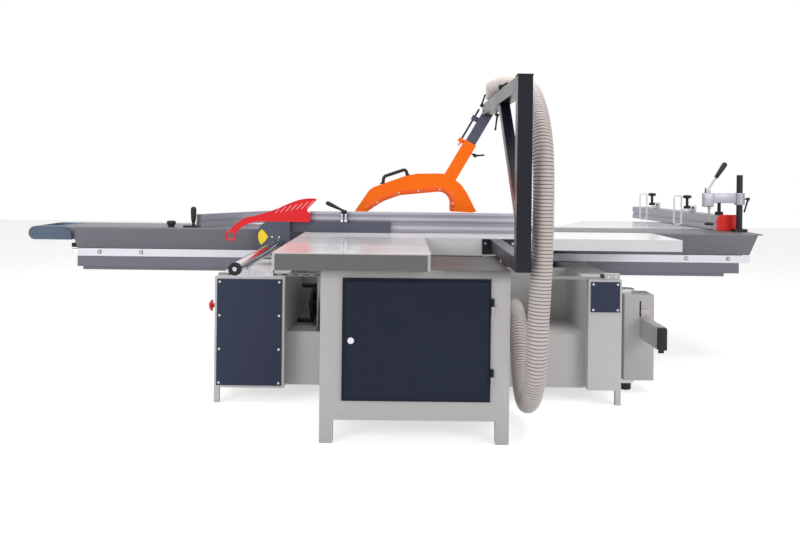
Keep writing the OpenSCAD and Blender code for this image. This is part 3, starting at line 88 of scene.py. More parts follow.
def ringFaces(m, k, closed=False):  # quads between m rings of k points each
    i = np.arange(m if closed else m - 1)[:, None]
    j = np.arange(k)[None, :]
    up = ((i + 1) % m) * k
    quads = np.stack([i * k + j, i * k + (j + 1) % k, up + (j + 1) % k, up + j], axis=-1)
    return quads.reshape(-1, 4)


def closedRing(name, rings):  # rings that run round into the first one
    m, k, _ = rings.shape
    return newMesh(name, rings.reshape(-1, 3), ringFaces(m, k, closed=True).tolist())


def joined(name, parts):  # several ring sets with flat ends in one piece
    faces = []
    start = 0
    for rings in parts:
        m, k, _ = rings.shape
        faces += (ringFaces(m, k) + start).tolist()
        ends = start + np.arange(k)[::-1], start + np.arange((m - 1) * k, m * k)
        faces += [q.tolist() for q in ends]
        start += m * k
    return newMesh(name, np.concatenate([rings.reshape(-1, 3) for rings in parts]), faces)


def frameOf(direction, up=alongZ):  # two side vectors square to a direction, right handed
    d = np.asarray(direction, float)
    d = d / np.linalg.norm(d)
    u = np.asarray(up, float)
    if abs(np.dot(u, d)) > 0.98:
        u = np.array(alongX, float)
    s = np.cross(u, d)
    s = s / np.linalg.norm(s)
    return s, np.cross(d, s), d


def turned(profile, base, axis, segments=28):  # profile of (radius, height) turned about an axis
    s, t, d = frameOf(axis)
    p = np.asarray(profile, float)
    a = np.linspace(0, 2 * np.pi, segments, endpoint=False)
    circle = np.cos(a)[:, None] * s + np.sin(a)[:, None] * t
    return np.asarray(base, float) + p[:, 1][:, None, None] * d + p[:, 0][:, None, None] * circle


def roundedOutline(w, h, r, n=5):  # rounded rectangle, anticlockwise, as offsets
    a = np.linspace(0, np.pi / 2, n)
    quarter = np.stack([np.cos(a), np.sin(a)], axis=-1) * r
    turn = np.array([[0, -1], [1, 0]])
    x, y = w / 2 - r, h / 2 - r
    corners = ((x, y), (-x, y), (-x, -y), (x, -y))
    return np.concatenate([quarter @ np.linalg.matrix_power(turn.T, q) + np.array(c) for q, c in enumerate(corners)])


def tubeRings(centre, radius, n, b, sides):  # circles about a line, in the plane of its two side vectors
    a = np.linspace(0, 2 * np.pi, sides, endpoint=False)[None, :, None]
    return centre[:, None] + radius[:, None, None] * (np.cos(a) * n[:, None] + np.sin(a) * b[:, None])


def barRings(w, h, r, a, b, up=alongZ, soft=3.0):  # rounded rectangle from a to b, ends eased
    a = np.asarray(a, float)
    b = np.asarray(b, float)
    s, t, d = frameOf(b - a, up)
    length = np.linalg.norm(b - a)
    q = np.linspace(0, np.pi / 2, 4)
    inset = np.concatenate([soft * (1 - np.sin(q)), soft * (1 - np.sin(q[::-1]))])
    along = np.concatenate([soft * (1 - np.cos(q)), length - soft * (1 - np.cos(q[::-1]))])
    rings = []
    for cut, run in zip(inset, along):
        o = roundedOutline(w - 2 * cut, h - 2 * cut, max(r - cut, 0.0002))
        rings.append(a + d * run + o[:, :1] * s + o[:, 1:] * t)
    return np.array(rings)


def finishPiece(obj, body, material, angle=35):  # round surfaces shade round, edges past the angle stay crisp
    obj.data.polygons.foreach_set("use_smooth", np.ones(len(obj.data.polygons), bool))
    obj.data.set_sharp_from_angle(angle=math.radians(angle))
    obj.data.materials.append(material)
    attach(obj, body)
    return obj


def fitted(name, parts, body, material, angle=35, place=mm):  # ring sets in machine mm as one finished piece
    return finishPiece(joined(name, [place(q) for q in parts]), body, material, angle)


# shader groups shared by the finishes
def newGroup(name, inputs, outputs):
    g = bpy.data.node_groups.new(name, "ShaderNodeTree")
    for label, kind, value in inputs:
        s = g.interface.new_socket(name=label, in_out="INPUT", socket_type=kind)
        if value is not None:
            s.default_value = value
    for label, kind in outputs:
        g.interface.new_socket(name=label, in_out="OUTPUT", socket_type=kind)
    return g, g.nodes.new("NodeGroupInput"), g.nodes.new("NodeGroupOutput")


def coatGroup():  # powder coat or moulded skin: fine pebbles, and slow clouds of tone
    g, gi, go = newGroup("coatSkin", [("Vector", "NodeSocketVector", None), ("Pebble", "NodeSocketFloat", 900.0),
                                      ("Cloud", "NodeSocketFloat", 3.0)],
                         [("Height", "NodeSocketFloat"), ("Clouds", "NodeSocketFloat"),
                          ("Specks", "NodeSocketFloat")])
    pebble = g.nodes.new("ShaderNodeTexNoise")
    pebble.inputs["Detail"].default_value = 2.0
    cloud = g.nodes.new("ShaderNodeTexNoise")
    cloud.inputs["Detail"].default_value = 4.0
    cloud.inputs["Roughness"].default_value = 0.6
    speck = g.nodes.new("ShaderNodeTexNoise")
    speck.inputs["Detail"].default_value = 1.0
    half = g.nodes.new("ShaderNodeMath")
    half.operation = "MULTIPLY"
    half.inputs[1].default_value = 0.31
    links = g.links
    for n in (pebble, cloud, speck):
        links.new(gi.outputs["Vector"], n.inputs["Vector"])
    links.new(gi.outputs["Pebble"], pebble.inputs["Scale"])
    links.new(gi.outputs["Pebble"], half.inputs[0])
    links.new(half.outputs[0], speck.inputs["Scale"])
    links.new(gi.outputs["Cloud"], cloud.inputs["Scale"])
    links.new(pebble.outputs["Fac"], go.inputs["Height"])
    links.new(cloud.outputs["Fac"], go.inputs["Clouds"])
    links.new(speck.outputs["Fac"], go.inputs["Specks"])
    return g


def streakGroup():  # drawn or ground metal: noise pulled out along one axis
    g, gi, go = newGroup("drawnStreaks", [("Vector", "NodeSocketVector", None), ("Pull", "NodeSocketVector", None)],
                         [("Height", "NodeSocketFloat"), ("Streaks", "NodeSocketFloat")])
    pull = g.nodes.new("ShaderNodeVectorMath")
    pull.operation = "MULTIPLY"
    fine = g.nodes.new("ShaderNodeTexNoise")
    fine.inputs["Scale"].default_value = 1.0
    fine.inputs["Detail"].default_value = 3.0
    broad = g.nodes.new("ShaderNodeTexNoise")
    broad.inputs["Scale"].default_value = 0.22
    broad.inputs["Detail"].default_value = 4.0
    links = g.links
    links.new(gi.outputs["Vector"], pull.inputs[0])
    links.new(gi.outputs["Pull"], pull.inputs[1])
    links.new(pull.outputs[0], fine.inputs["Vector"])
    links.new(pull.outputs[0], broad.inputs["Vector"])
    links.new(fine.outputs["Fac"], go.inputs["Height"])
    links.new(broad.outputs["Fac"], go.inputs["Streaks"])
    return g


def wearGroup():  # rubbed patches and dust, from two noises set against each other
    g, gi, go = newGroup("rubbedPatches", [("Vector", "NodeSocketVector", None), ("Scale", "NodeSocketFloat", 5.0),
                                           ("Amount", "NodeSocketFloat", 0.5)], [("Mask", "NodeSocketFloat")])
    big = g.nodes.new("ShaderNodeTexNoise")
    big.inputs["Detail"].default_value = 6.0
    big.inputs["Roughness"].default_value = 0.7
    ramp = g.nodes.new("ShaderNodeMapRange")
    ramp.inputs["From Min"].default_value = 0.56
    ramp.inputs["From Max"].default_value = 0.78
    ramp.inputs["To Min"].default_value = 0.0
    links = g.links
    links.new(gi.outputs["Vector"], big.inputs["Vector"])
    links.new(gi.outputs["Scale"], big.inputs["Scale"])
    links.new(big.outputs["Fac"], ramp.inputs["Value"])
    links.new(gi.outputs["Amount"], ramp.inputs["To Max"])
    links.new(ramp.outputs["Result"], go.inputs["Mask"])
    return g


coatSkin = coatGroup()
drawnStreaks = streakGroup()
rubbedPatches = wearGroup()


def mixColour(tree, fac, a, b):
    mix = tree.nodes.new("ShaderNodeMix")
    mix.data_type = "RGBA"
    tree.links.new(fac, mix.inputs["Factor"])
    for value, socket in ((a, mix.inputs["A"]), (b, mix.inputs["B"])):
        if isinstance(value, tuple):
            socket.default_value = (*value, 1.0)
        else:
            tree.links.new(value, socket)
    return mix.outputs["Result"]


def spread(tree, value, low, high, fromLow=0.3, fromHigh=0.7):
    r = tree.nodes.new("ShaderNodeMapRange")
    r.inputs["From Min"].default_value = fromLow
    r.inputs["From Max"].default_value = fromHigh
    r.inputs["To Min"].default_value = low
    r.inputs["To Max"].default_value = high
    tree.links.new(value, r.inputs["Value"])
    return r.outputs["Result"]


def startFinish(name):
    mat = bpy.data.materials.new(name)
    mat.use_nodes = True
    tree = mat.node_tree
    shader = tree.nodes["Principled BSDF"]
    where = tree.nodes.new("ShaderNodeTexCoord").outputs["Object"]
    return mat, tree, shader, where


def placeGroup(tree, group, where, **values):
    n = tree.nodes.new("ShaderNodeGroup")
    n.node_tree = group
    tree.links.new(where, n.inputs["Vector"])
    for label, value in values.items():
        n.inputs[label].default_value = value
    return n


def bump(tree, shader, height, depth, strength):
    b = tree.nodes.new("ShaderNodeBump")
    b.inputs["Distance"].default_value = depth
    b.inputs["Strength"].default_value = strength
    tree.links.new(height, b.inputs["Height"])
    tree.links.new(b.outputs["Normal"], shader.inputs["Normal"])


def paintedFinish(name, colour, shift=0.06, rough=(0.38, 0.5), pebble=650.0, cloud=2.5, depth=0.0003,
                  rub=0.25, rubTone=0.75, coat=0.0, metallic=0.0, specular=0.5):
    mat, tree, shader, where = startFinish(name)
    skin = placeGroup(tree, coatSkin, where, Pebble=pebble, Cloud=cloud)
    dark = tuple(c * (1 - shift) for c in colour)
    light = tuple(min(1.0, c * (1 + shift)) for c in colour)
    tinted = mixColour(tree, spread(tree, skin.outputs["Clouds"], 0.0, 1.0), dark, light)
    patches = placeGroup(tree, rubbedPatches, where, Scale=cloud * 3.1, Amount=rub)
    worn = mixColour(tree, patches.outputs["Mask"], tinted, tuple(min(1.0, c * rubTone + 0.01) for c in colour))
    flecked = mixColour(tree, spread(tree, skin.outputs["Specks"], 0.0, 0.35, 0.6, 0.75), worn, dark)
    tree.links.new(flecked, shader.inputs["Base Color"])
    tree.links.new(spread(tree, skin.outputs["Clouds"], rough[0], rough[1]), shader.inputs["Roughness"])
    shader.inputs["Metallic"].default_value = metallic
    shader.inputs["Coat Weight"].default_value = coat
    shader.inputs["Specular IOR Level"].default_value = specular
    bump(tree, shader, skin.outputs["Height"], depth, 0.35)
    return mat


def metalFinish(name, colour, pull=(6.0, 900.0, 900.0), shift=0.12, rough=(0.25, 0.42), depth=0.0002, metallic=1.0,
                smudge=0.25):
    mat, tree, shader, where = startFinish(name)
    lines = placeGroup(tree, drawnStreaks, where, Pull=pull)
    dark = tuple(c * (1 - shift) for c in colour)
    light = tuple(min(1.0, c * (1 + shift)) for c in colour)
    tinted = mixColour(tree, spread(tree, lines.outputs["Streaks"], 0.0, 1.0), dark, light)
    patches = placeGroup(tree, rubbedPatches, where, Scale=9.0, Amount=smudge)
    worn = mixColour(tree, patches.outputs["Mask"], tinted, tuple(c * 0.8 for c in colour))
    tree.links.new(worn, shader.inputs["Base Color"])
    tree.links.new(spread(tree, lines.outputs["Height"], rough[0], rough[1]), shader.inputs["Roughness"])
    shader.inputs["Metallic"].default_value = metallic
    bump(tree, shader, lines.outputs["Height"], depth, 0.25)
    return mat


paleCoat = dict(shift=0.035, rub=0.12, rubTone=0.9)
glossCoat = dict(shift=0.03, rough=(0.16, 0.26), pebble=420.0, rub=0.1, rubTone=0.92, coat=0.25)
bodyPaint = paintedFinish("bodyPaint", tone(190, 188, 187), **paleCoat)
tablePaint = paintedFinish("tablePaint", tone(200, 198, 199), **glossCoat)
slatePaint = paintedFinish("slatePaint", tone(42, 48, 62), shift=0.08, rough=(0.42, 0.55), rub=0.2, rubTone=1.25,
                           specular=0.16)
coverPaint = paintedFinish("coverPaint", tone(55, 61, 83), shift=0.06, rough=(0.42, 0.55), rub=0.2, rubTone=1.2,
                           specular=0.16)
doorPaint = paintedFinish("doorPaint", tone(32, 38, 54), shift=0.08, rough=(0.42, 0.55), rub=0.2, rubTone=1.25,
                          specular=0.14)
armPaint = paintedFinish("armPaint", tone(84, 87, 104), shift=0.06, rough=(0.36, 0.48), rub=0.2, rubTone=1.15,
                         specular=0.25)
# the base frame's paint is the body paint lightened: painted light for a frame that sits in shade
bodyPaintLit = paintedFinish("bodyPaintLit", tone(206, 204, 204), **paleCoat)
# tables behind the rip table and the left bay's sheets: the table paint lightened, as painted light for their shaded
# faces
tablePaintLit = paintedFinish("tablePaintLit", tone(224, 222, 225), **glossCoat)
# fence end cap: the signal red lightened, as painted light on its shaded rounded side
capRedLit = paintedFinish("capRedLit", tone(255, 52, 44), shift=0.04, rough=(0.3, 0.4), pebble=300.0, rub=0.1, rubTone=0.85,
                       specular=0.3)
postPaint = paintedFinish("postPaint", tone(24, 27, 37), shift=0.08, rough=(0.24, 0.32), rub=0.15, rubTone=1.2,
                          specular=0.26)
carrierPaint = paintedFinish("carrierPaint", tone(82, 85, 99), shift=0.07, rough=(0.36, 0.48), rub=0.2, rubTone=1.2,
                             specular=0.3)
guardOrange = paintedFinish("guardOrange", tone(255, 112, 10), shift=0.04, rough=(0.34, 0.44), pebble=380.0, rub=0.1,
                            rubTone=0.9, specular=0.2)
signalRed = paintedFinish("signalRed", tone(230, 30, 38), shift=0.05, rough=(0.26, 0.36), pebble=300.0, rub=0.1,
                          rubTone=0.8, coat=0.1, specular=0.3)
handleSlate = paintedFinish("handleSlate", tone(88, 102, 120), shift=0.07, rough=(0.45, 0.58), pebble=500.0, rub=0.2,
                            rubTone=1.15, specular=0.3)
blackPlastic = paintedFinish("blackPlastic", tone(26, 26, 29), shift=0.12, rough=(0.36, 0.5), pebble=700.0, rub=0.25,
                             rubTone=1.6, specular=0.3)
blackSteel = paintedFinish("blackSteel", tone(34, 34, 38), shift=0.12, rough=(0.3, 0.42), pebble=500.0, rub=0.3,
                           rubTone=1.8, metallic=0.5)
beltRubber = paintedFinish("beltRubber", tone(28, 28, 28), shift=0.1, rough=(0.7, 0.85), pebble=260.0, rub=0.3,
                           rubTone=1.6)
# hose valleys: a darker finish, painted shade in the creases between the ribs
hoseGrooveShade = paintedFinish("hoseGrooveShade", tone(140, 132, 129), shift=0.05, rough=(0.45, 0.6), pebble=260.0, rub=0.1,
                           rubTone=0.85)
hosePlastic = paintedFinish("hosePlastic", tone(202, 193, 189), shift=0.05, rough=(0.3, 0.42), pebble=260.0,
                            cloud=6.0, rub=0.2, rubTone=0.85, depth=0.0002)
motorGrey = paintedFinish("motorGrey", tone(120, 122, 126), shift=0.08, rough=(0.4, 0.55), rub=0.3, rubTone=0.7,
                          metallic=0.4)
railGrey = paintedFinish("railGrey", tone(158, 157, 158), shift=0.05, rough=(0.36, 0.48), rub=0.2, rubTone=0.8)
anodisedGrey = metalFinish("anodisedGrey", tone(112, 110, 118), shift=0.06, rough=(0.38, 0.5), metallic=0.7)
beamGrey = metalFinish("beamGrey", tone(106, 104, 114), shift=0.06, rough=(0.38, 0.5), metallic=0.7)
fenceSilver = metalFinish("fenceSilver", tone(182, 181, 190), shift=0.06, rough=(0.3, 0.42), metallic=0.8)
midSilver = metalFinish("midSilver", tone(160, 159, 168), shift=0.06, rough=(0.32, 0.44), metallic=0.7)
stripSilver = metalFinish("stripSilver", tone(226, 225, 233), shift=0.03, rough=(0.34, 0.46), metallic=0.35)
brightAluminium = metalFinish("brightAluminium", tone(222, 222, 226), shift=0.05, rough=(0.22, 0.34))
chromeBar = metalFinish("chromeBar", tone(205, 206, 210), pull=(600.0, 4.0, 600.0), shift=0.05, rough=(0.08, 0.16))
machineSteel = metalFinish("machineSteel", tone(188, 188, 192), pull=(300.0, 300.0, 300.0), shift=0.1,
                           rough=(0.26, 0.4))


def overlay(mat, limits, colour):  # lays a colour over a finish where every limit along its axis holds
    tree = mat.node_tree
    shader = tree.nodes["Principled BSDF"]
    axes = tree.nodes.new("ShaderNodeSeparateXYZ")
    tree.links.new(tree.nodes.new("ShaderNodeTexCoord").outputs["Object"], axes.inputs[0])
    mask = None
    for axis, *limit in limits:
        ramp = spread(tree, axes.outputs[axis], *limit)
        if mask is not None:
            both = tree.nodes.new("ShaderNodeMath")
            both.operation = "MULTIPLY"
            tree.links.new(mask, both.inputs[0])
            tree.links.new(ramp, both.inputs[1])
            ramp = both.outputs[0]
        mask = ramp
    plain = shader.inputs["Base Color"].links[0].from_socket
    tree.links.new(mixColour(tree, mask, plain, colour), shader.inputs["Base Color"])
    return mat


# bands of painted shade: each limit is an axis, the share before and after it, and where it starts and ends in metres
# rip table: pale top, and painted shade that makes the band on its near face mid grey
shadedBandPaint = paintedFinish("tableShadedBand", tone(200, 198, 199), **glossCoat)
bandShadeSet = dict(near=(-1.5640, -1.5630), under=(0.8355, 0.8370))
overlay(shadedBandPaint, [("Y", 1.0, 0.0, *bandShadeSet["near"]), ("Z", 1.0, 0.0, *bandShadeSet["under"])], tone(100, 98, 98))
# cabinet: painted shadow on its top under the main table, and painted shade on the stile, darker towards the top
# beside the rip table
cabinetPaintAndShade = paintedFinish("cabinetPaintAndShade", tone(190, 188, 187), **paleCoat)
cabinetShadeSet = dict(shade=(0.710, 0.765), stile=(0.12, 0.22), top=(0.7640, 0.7645))
overlay(cabinetPaintAndShade, [("Z", 0.0, 1.0, *cabinetShadeSet["shade"]), ("X", 0.0, 1.0, *cabinetShadeSet["stile"])],
        tone(106, 104, 105))
overlay(cabinetPaintAndShade, [("Z", 0.0, 1.0, *cabinetShadeSet["top"])], tone(46, 45, 46))
# rip fence: painted shade in darker bands along the drawn bar, at its grooves and at its foot
grooveShade = dict(foot=(0.830, 0.860), middle=(0.880, 0.912), upper=(0.930, 0.948))
grooveEdge = 0.001
for low, high in grooveShade.values():
    overlay(fenceSilver, [("Z", 0.0, 1.0, low - grooveEdge, low), ("Z", 1.0, 0.0, high - grooveEdge, high)],
            tone(148, 147, 158))
print("finishes made:", len(bpy.data.materials))

slotFinish = dict(body_paint=bodyPaint, table_paint=tablePaint, slate_paint=slatePaint, anodised_grey=anodisedGrey,
                  bright_aluminium=brightAluminium, chrome_bar=chromeBar, machine_steel=machineSteel,
                  motor_grey=motorGrey, black_plastic=blackPlastic, black_steel=blackSteel, guard_orange=guardOrange,
                  signal_red=signalRed, handle_slate=handleSlate, hose_plastic=hosePlastic, belt_rubber=beltRubber)
ownFinish = dict(guard_post=postPaint, arm_tube=armPaint, base_frame=bodyPaintLit, cabinet=cabinetPaintAndShade, door=doorPaint,
                 electrical_cover=coverPaint, rear_cover=coverPaint, rear_table=tablePaintLit, main_table=tablePaintLit,
                 fence_end_cap=capRedLit, rip_carrier=carrierPaint, hose_collars=bodyPaint, tie_rail=railGrey,
                 slide_beam=beamGrey, rip_fence=fenceSilver, guide_strip=stripSilver, front_table=shadedBandPaint,
                 guide_rod=blackSteel, front_fence=midSilver, crosscut_fence=midSilver)
for part in frame["record"]["subparts"]:
    solid = nodes[part["node"]]
    solid.data.materials.clear()
    solid.data.materials.append(ownFinish.get(part["node"], slotFinish[part["material_slot"]]))
print("frame dressed")

# dust hose: ribbed tube from the guard arm, over the boom, down past the table and up under it
hoseSet = dict(diameter=95.0, pitch=15.5, ribDepth=4.6, ends=12.0, sides=28, steps=480, perRib=8, look=4.0,
               groove=1.2, route=[
    (565, 1190, 1690), (565, 1070, 1690), (572, 900, 1680), (588, 720, 1660), (610, 540, 1634), (620, 400, 1596),
    (624, 260, 1530), (627, 140, 1430), (628, 62, 1310), (628, 30, 1180), (627, 22, 1020), (624, 20, 860),
    (618, 20, 700), (611, 20, 560), (607, 22, 440), (605, 52, 308), (606, 138, 197), (609, 265, 131),
    (612, 350, 120), (616, 436, 131), (621, 540, 180), (626, 621, 261), (629, 660, 317), (633, 718, 381),
    (636, 791, 427), (638, 873, 453), (639, 915, 458), (639, 955, 458)])


def smoothRoute(points, steps):  # curve through all points, each stretch a cubic from its four neighbours
    p = np.asarray(points, float)
    p = np.vstack([2 * p[0] - p[1], p, 2 * p[-1] - p[-2]])
    u = np.arange(steps + 1) * (len(p) - 3) / steps
    k = np.minimum(u.astype(int), len(p) - 4)
    t = (u - k)[:, None]
    p0, p1, p2, p3 = p[k], p[k + 1], p[k + 2], p[k + 3]
    bend = (2 * p0 - 5 * p1 + 4 * p2 - p3) * t ** 2 + (3 * p1 - p0 - 3 * p2 + p3) * t ** 3
    return 0.5 * (2 * p1 + (p2 - p0) * t + bend)


def makeHose(s):
    line = smoothRoute(s["route"], s["steps"])
    run = np.concatenate([[0], np.cumsum(np.linalg.norm(np.diff(line, axis=0), axis=1))])
    length = run[-1]
    ribs = int((length - 2 * s["ends"]) / s["pitch"])
    middle = np.linspace(s["ends"], length - s["ends"], ribs * s["perRib"] + 1)
    along = np.concatenate([[0, s["ends"] * 0.5], middle, [length - s["ends"] * 0.5, length]])
    centre, ahead, back = (np.stack([np.interp(np.clip(along + step, 0, length), run, line[:, q]) for q in range(3)],
                                    axis=-1) for step in (0, s["look"], -s["look"]))
    d = ahead - back
    d /= np.linalg.norm(d, axis=1, keepdims=True)
    n = np.array(alongX) - d * d[:, :1]
    n /= np.linalg.norm(n, axis=1, keepdims=True)
    b = np.cross(d, n)
    phase = (along - s["ends"]) / (length - 2 * s["ends"]) * ribs
    wave = np.sqrt(np.abs(np.sin(np.pi * phase)))  # round ribs with a narrow valley between
    inside = (along > s["ends"]) & (along < length - s["ends"])
    r = s["diameter"] / 2 - np.where(inside, s["ribDepth"] * (1 - wave), 0.0)
    obj = fitted("dustHoseRibbed", [tubeRings(centre, r, n, b, s["sides"])], "base", hosePlastic, 60)
    # painted shade: the narrow valleys between the ribs take the darker finish
    obj.data.materials.append(hoseGrooveShade)
    between = (phase[:-1] + phase[1:]) / 2
    low = np.abs(between - np.round(between)) < s["groove"] / s["perRib"]
    dark = np.concatenate([np.repeat(low & inside[:-1], s["sides"]), [False, False]])
    obj.data.polygons.foreach_set("material_index", dark.astype(np.int32))
    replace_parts(obj, "dust_hose")
    return length


print("hose made, mm:", round(makeHose(hoseSet), 1))

# upper hose cuff: the ribs go on over the collar
cuffSet = dict(start=(565.0, 1190.3, 1690.0), ribs=6, pitch=15.0, perRib=8, radius=52.8, rise=2.4)
cuffRun = np.linspace(0, cuffSet["ribs"], cuffSet["ribs"] * cuffSet["perRib"] + 1)
cuffRadius = cuffSet["radius"] + cuffSet["rise"] * np.sqrt(np.abs(np.sin(np.pi * cuffRun)))
cuff = turned(np.stack([cuffRadius, cuffSet["pitch"] * cuffRun], axis=-1), cuffSet["start"], alongY, 32)
fitted("hoseCuff", [cuff], "base", hosePlastic, 60)


# shapes that several fittings share
def finer(line, steps):  # the same line with more points
    parts = [np.linspace(p, q, steps, endpoint=False) for p, q in zip(line[:-1], line[1:])]
    return np.vstack(parts + [line[-1:]])


def standing(outline, depths):  # outline of (x, z) points as rings at the given depths
    flat = np.asarray(outline, float)
    return np.array([np.stack([flat[:, 0], np.full(len(flat), y), flat[:, 1]], axis=-1) for y in depths])


def screwHead(at, axis, radius, height):  # pan head with a hex socket step
    return turned(np.array([(1, 0), (1, 0.6), (0.86, 1), (0.5, 1), (0.46, 0.45)]) * (radius, height), at, axis, 18)


def sweptTube(path, radius, sides=20):  # circle carried along a path, its frame turned as little as possible
    p = np.asarray(path, float)
    d = np.gradient(p, axis=0)
    d /= np.linalg.norm(d, axis=1, keepdims=True)
    n = [frameOf(d[0])[0]]
    for k in range(1, len(p)):
        v = n[-1] - d[k] * np.dot(n[-1], d[k])
        n.append(v / np.linalg.norm(v))
    n = np.array(n)
    r = np.broadcast_to(np.asarray(radius, float), (len(p),))
    return tubeRings(p, r, n, np.cross(d, n), sides)


leverShape = dict(stud=[(4.5, -0.2), (4.5, 0.0)], studRun=0.45, armFrom=0.8,
                  boss=[(7, 0.4), (9, 0.45), (10, 0.6), (11, 0.95), (9, 1.08), (4, 1.12)],
                  armRun=[0, 0.15, 0.7, 0.9, 0.96, 1], armRadius=[8, 6.2, 4.8, 6.2, 5.6, 2.5])


def clampLever(name, hub, axis, tip, body, reach=28.0):  # turned hub with a tapered arm and a rounded end
    hub = np.asarray(hub, float)
    d = np.asarray(axis, float) / np.linalg.norm(axis)
    stud = turned(np.array(leverShape["stud"]) + [(0, 0), (0, reach * leverShape["studRun"])], hub, d, 14)
    boss = turned(np.array(leverShape["boss"]) * (1, reach), hub, d, 22)
    start = hub + d * reach * leverShape["armFrom"]
    run = np.linspace(0, 1, 16)
    radius = np.interp(run, leverShape["armRun"], leverShape["armRadius"])
    arm = sweptTube(start + (np.asarray(tip, float) - start) * run[:, None], radius, 16)
    fitted(name, [stud, boss, arm], body, blackPlastic, 40)


# guard: places on the leaning arm that carries the hood
armTop = np.array([540.0, 1400.0, 1569.0])
armWay = np.array([-0.5, 0.0, -math.sqrt(0.75)])  # down the arm
armSide = np.array([-math.sqrt(0.75), 0.0, 0.5])  # square to it, towards the operator


def onArm(s, off, y=0.0):  # run down the arm, offset to its side, depth
    return armTop + s * armWay + off * armSide + np.array([0.0, y, 0.0])


neckHub = onArm(270, -37.5)
leverSet = dict(
    boomTop=dict(hub=(515, 648, 1609), axis=alongZ, tip=(566, 648, 1668), body="base", reach=36.0),
    armHead=dict(hub=onArm(-10, 36, -22), axis=armSide, tip=(516, 1378, 1674), body="base"),
    boomSide=dict(hub=(562, 1330, 1556), axis=(0.9, 0, -0.43), tip=(573, 1330, 1452), body="base", reach=32.0),
    neck=dict(hub=neckHub, axis=-armSide, tip=neckHub + np.array([80.0, 0, -10.0]), body="guard", reach=34.0))
for name, values in leverSet.items():
    clampLever(name + "Lever", **values)

# orange lug that carries the lower end of the guide rod, with its nut
rodSet = dict(run=234.0, lug=(24.0, 24.0, 4.0), reach=(37.6, 74.0), nutOff=58.0,
              nut=[(10, 13.2), (10.5, 15), (10.5, 24), (7, 25), (6, 36), (4, 37)])
lugEnds = [onArm(rodSet["run"], off) for off in rodSet["reach"]]
lug = barRings(*rodSet["lug"], *lugEnds, up=alongY, soft=4)
fitted("rodLug", [lug], "guard", guardOrange)
nut = turned(rodSet["nut"], onArm(rodSet["run"], rodSet["nutOff"]), armWay, 6)
fitted("rodNut", [nut], "guard", machineSteel, 25)

# bow handle on the hood: two feet and a straight grip, with round corners
gripSet = dict(y=1400.0, feet=((-98.0, 1122.0), (56.0, 1172.0)), top=((-92.0, 1170.0), (38.0, 1215.0)),
               bend=16.0, radius=10.0, pad=[(17, 2), (17, 9), (14, 11)])


def hoodGrip():
    (a, b), (c, e) = ([np.array([x, gripSet["y"], z]) for x, z in gripSet[k]] for k in ("feet", "top"))
    t = np.linspace(0, 1, 9)[:, None]
    path = [a[None]]
    for corner, before, after in ((c, a, e), (e, c, b)):
        p0, p2 = (corner + gripSet["bend"] * (q - corner) / np.linalg.norm(q - corner) for q in (before, after))
        path.append((1 - t) ** 2 * p0 + 2 * t * (1 - t) * corner + t ** 2 * p2)
    grip = sweptTube(np.vstack(path + [b[None]]), gripSet["radius"], 24)
    pads = [turned(gripSet["pad"], p, alongZ, 24) for p in (a, b)]
    obj = fitted("hoodGrip", [grip] + pads, "guard", blackPlastic)
    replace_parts(obj, "hood_handle")


hoodGrip()

# hood: bolts through it, and a darker lip that follows its arch on both faces
hoodSet = dict(faces=((1365.0, -1), (1435.0, 1)), head=(6.0, 7.0),
               bolts=((-128, 1013), (0, 1072), (118, 1085), (246, 1096), (326, 1012)),
               archAt=(240.0, 1010.0), archRadius=72.0, archTurn=(-15, 95), lipStart=(312.5, 964.5),
               lipEnd=[(6, 1058), (-90, 1022), (-150, 985), (-187, 959)],
               lip=[(0.3, -0.4), (0.3, 1.6), (1.6, 2.4), (28, 2.4), (30, 1.4), (30, -0.4)])
flangeOrange = paintedFinish("flangeOrange", tone(238, 90, 10), shift=0.05, rough=(0.3, 0.4), pebble=380.0, rub=0.1,
                             rubTone=0.85)


def hoodFlange():
    turns = np.radians(np.linspace(*hoodSet["archTurn"], 15))
    arch = np.array(hoodSet["archAt"]) + hoodSet["archRadius"] * np.stack([np.cos(turns), np.sin(turns)], axis=-1)
    line = finer(np.vstack([hoodSet["lipStart"], arch, hoodSet["lipEnd"]]), 6)
    way = np.gradient(line, axis=0)
    out = np.stack([way[:, 1], -way[:, 0]], axis=-1)
    out /= np.linalg.norm(out, axis=1, keepdims=True)
    edge = np.array(hoodSet["lip"])
    flat = line[:, None] + out[:, None] * edge[None, :, :1]
    strips = []
    for face, side in hoodSet["faces"]:
        deep = np.broadcast_to(face + side * edge[None, :, 1], flat.shape[:2])
        rings = np.stack([flat[..., 0], deep, flat[..., 1]], axis=-1)
        strips.append(rings if side < 0 else rings[::-1])
    fitted("hoodFlange", strips, "guard", flangeOrange)


heads = [screwHead((x, y, z), (0, side, 0), *hoodSet["head"])
         for x, z in hoodSet["bolts"] for y, side in hoodSet["faces"]]
fitted("hoodBolts", heads, "guard", chromeBar)
hoodFlange()
print("guard fitted")

# rip fence casting: plain yellow plate and two screws
plateYellow = paintedFinish("plateYellow", tone(248, 214, 30), shift=0.04, rough=(0.3, 0.4), pebble=300.0, rub=0.15,
                            rubTone=0.85)
castingSet = dict(face=1187.7, plateY=(1187.9, 1186.1), screws=((-733, 812), (-692, 812)), head=(7.0, 4.0),
                  leaf=((-793, 857), (-811, 838), (-814, 808), (-808, 785), (-795, 766), (-772, 789), (-756, 812),
                        (-773, 838)))
fitted("castingPlate", [standing(castingSet["leaf"], castingSet["plateY"])], "rip", plateYellow)
heads = [screwHead((x, castingSet["face"], z), towardsFront, *castingSet["head"]) for x, z in castingSet["screws"]]
fitted("castingScrews", heads, "rip", chromeBar)

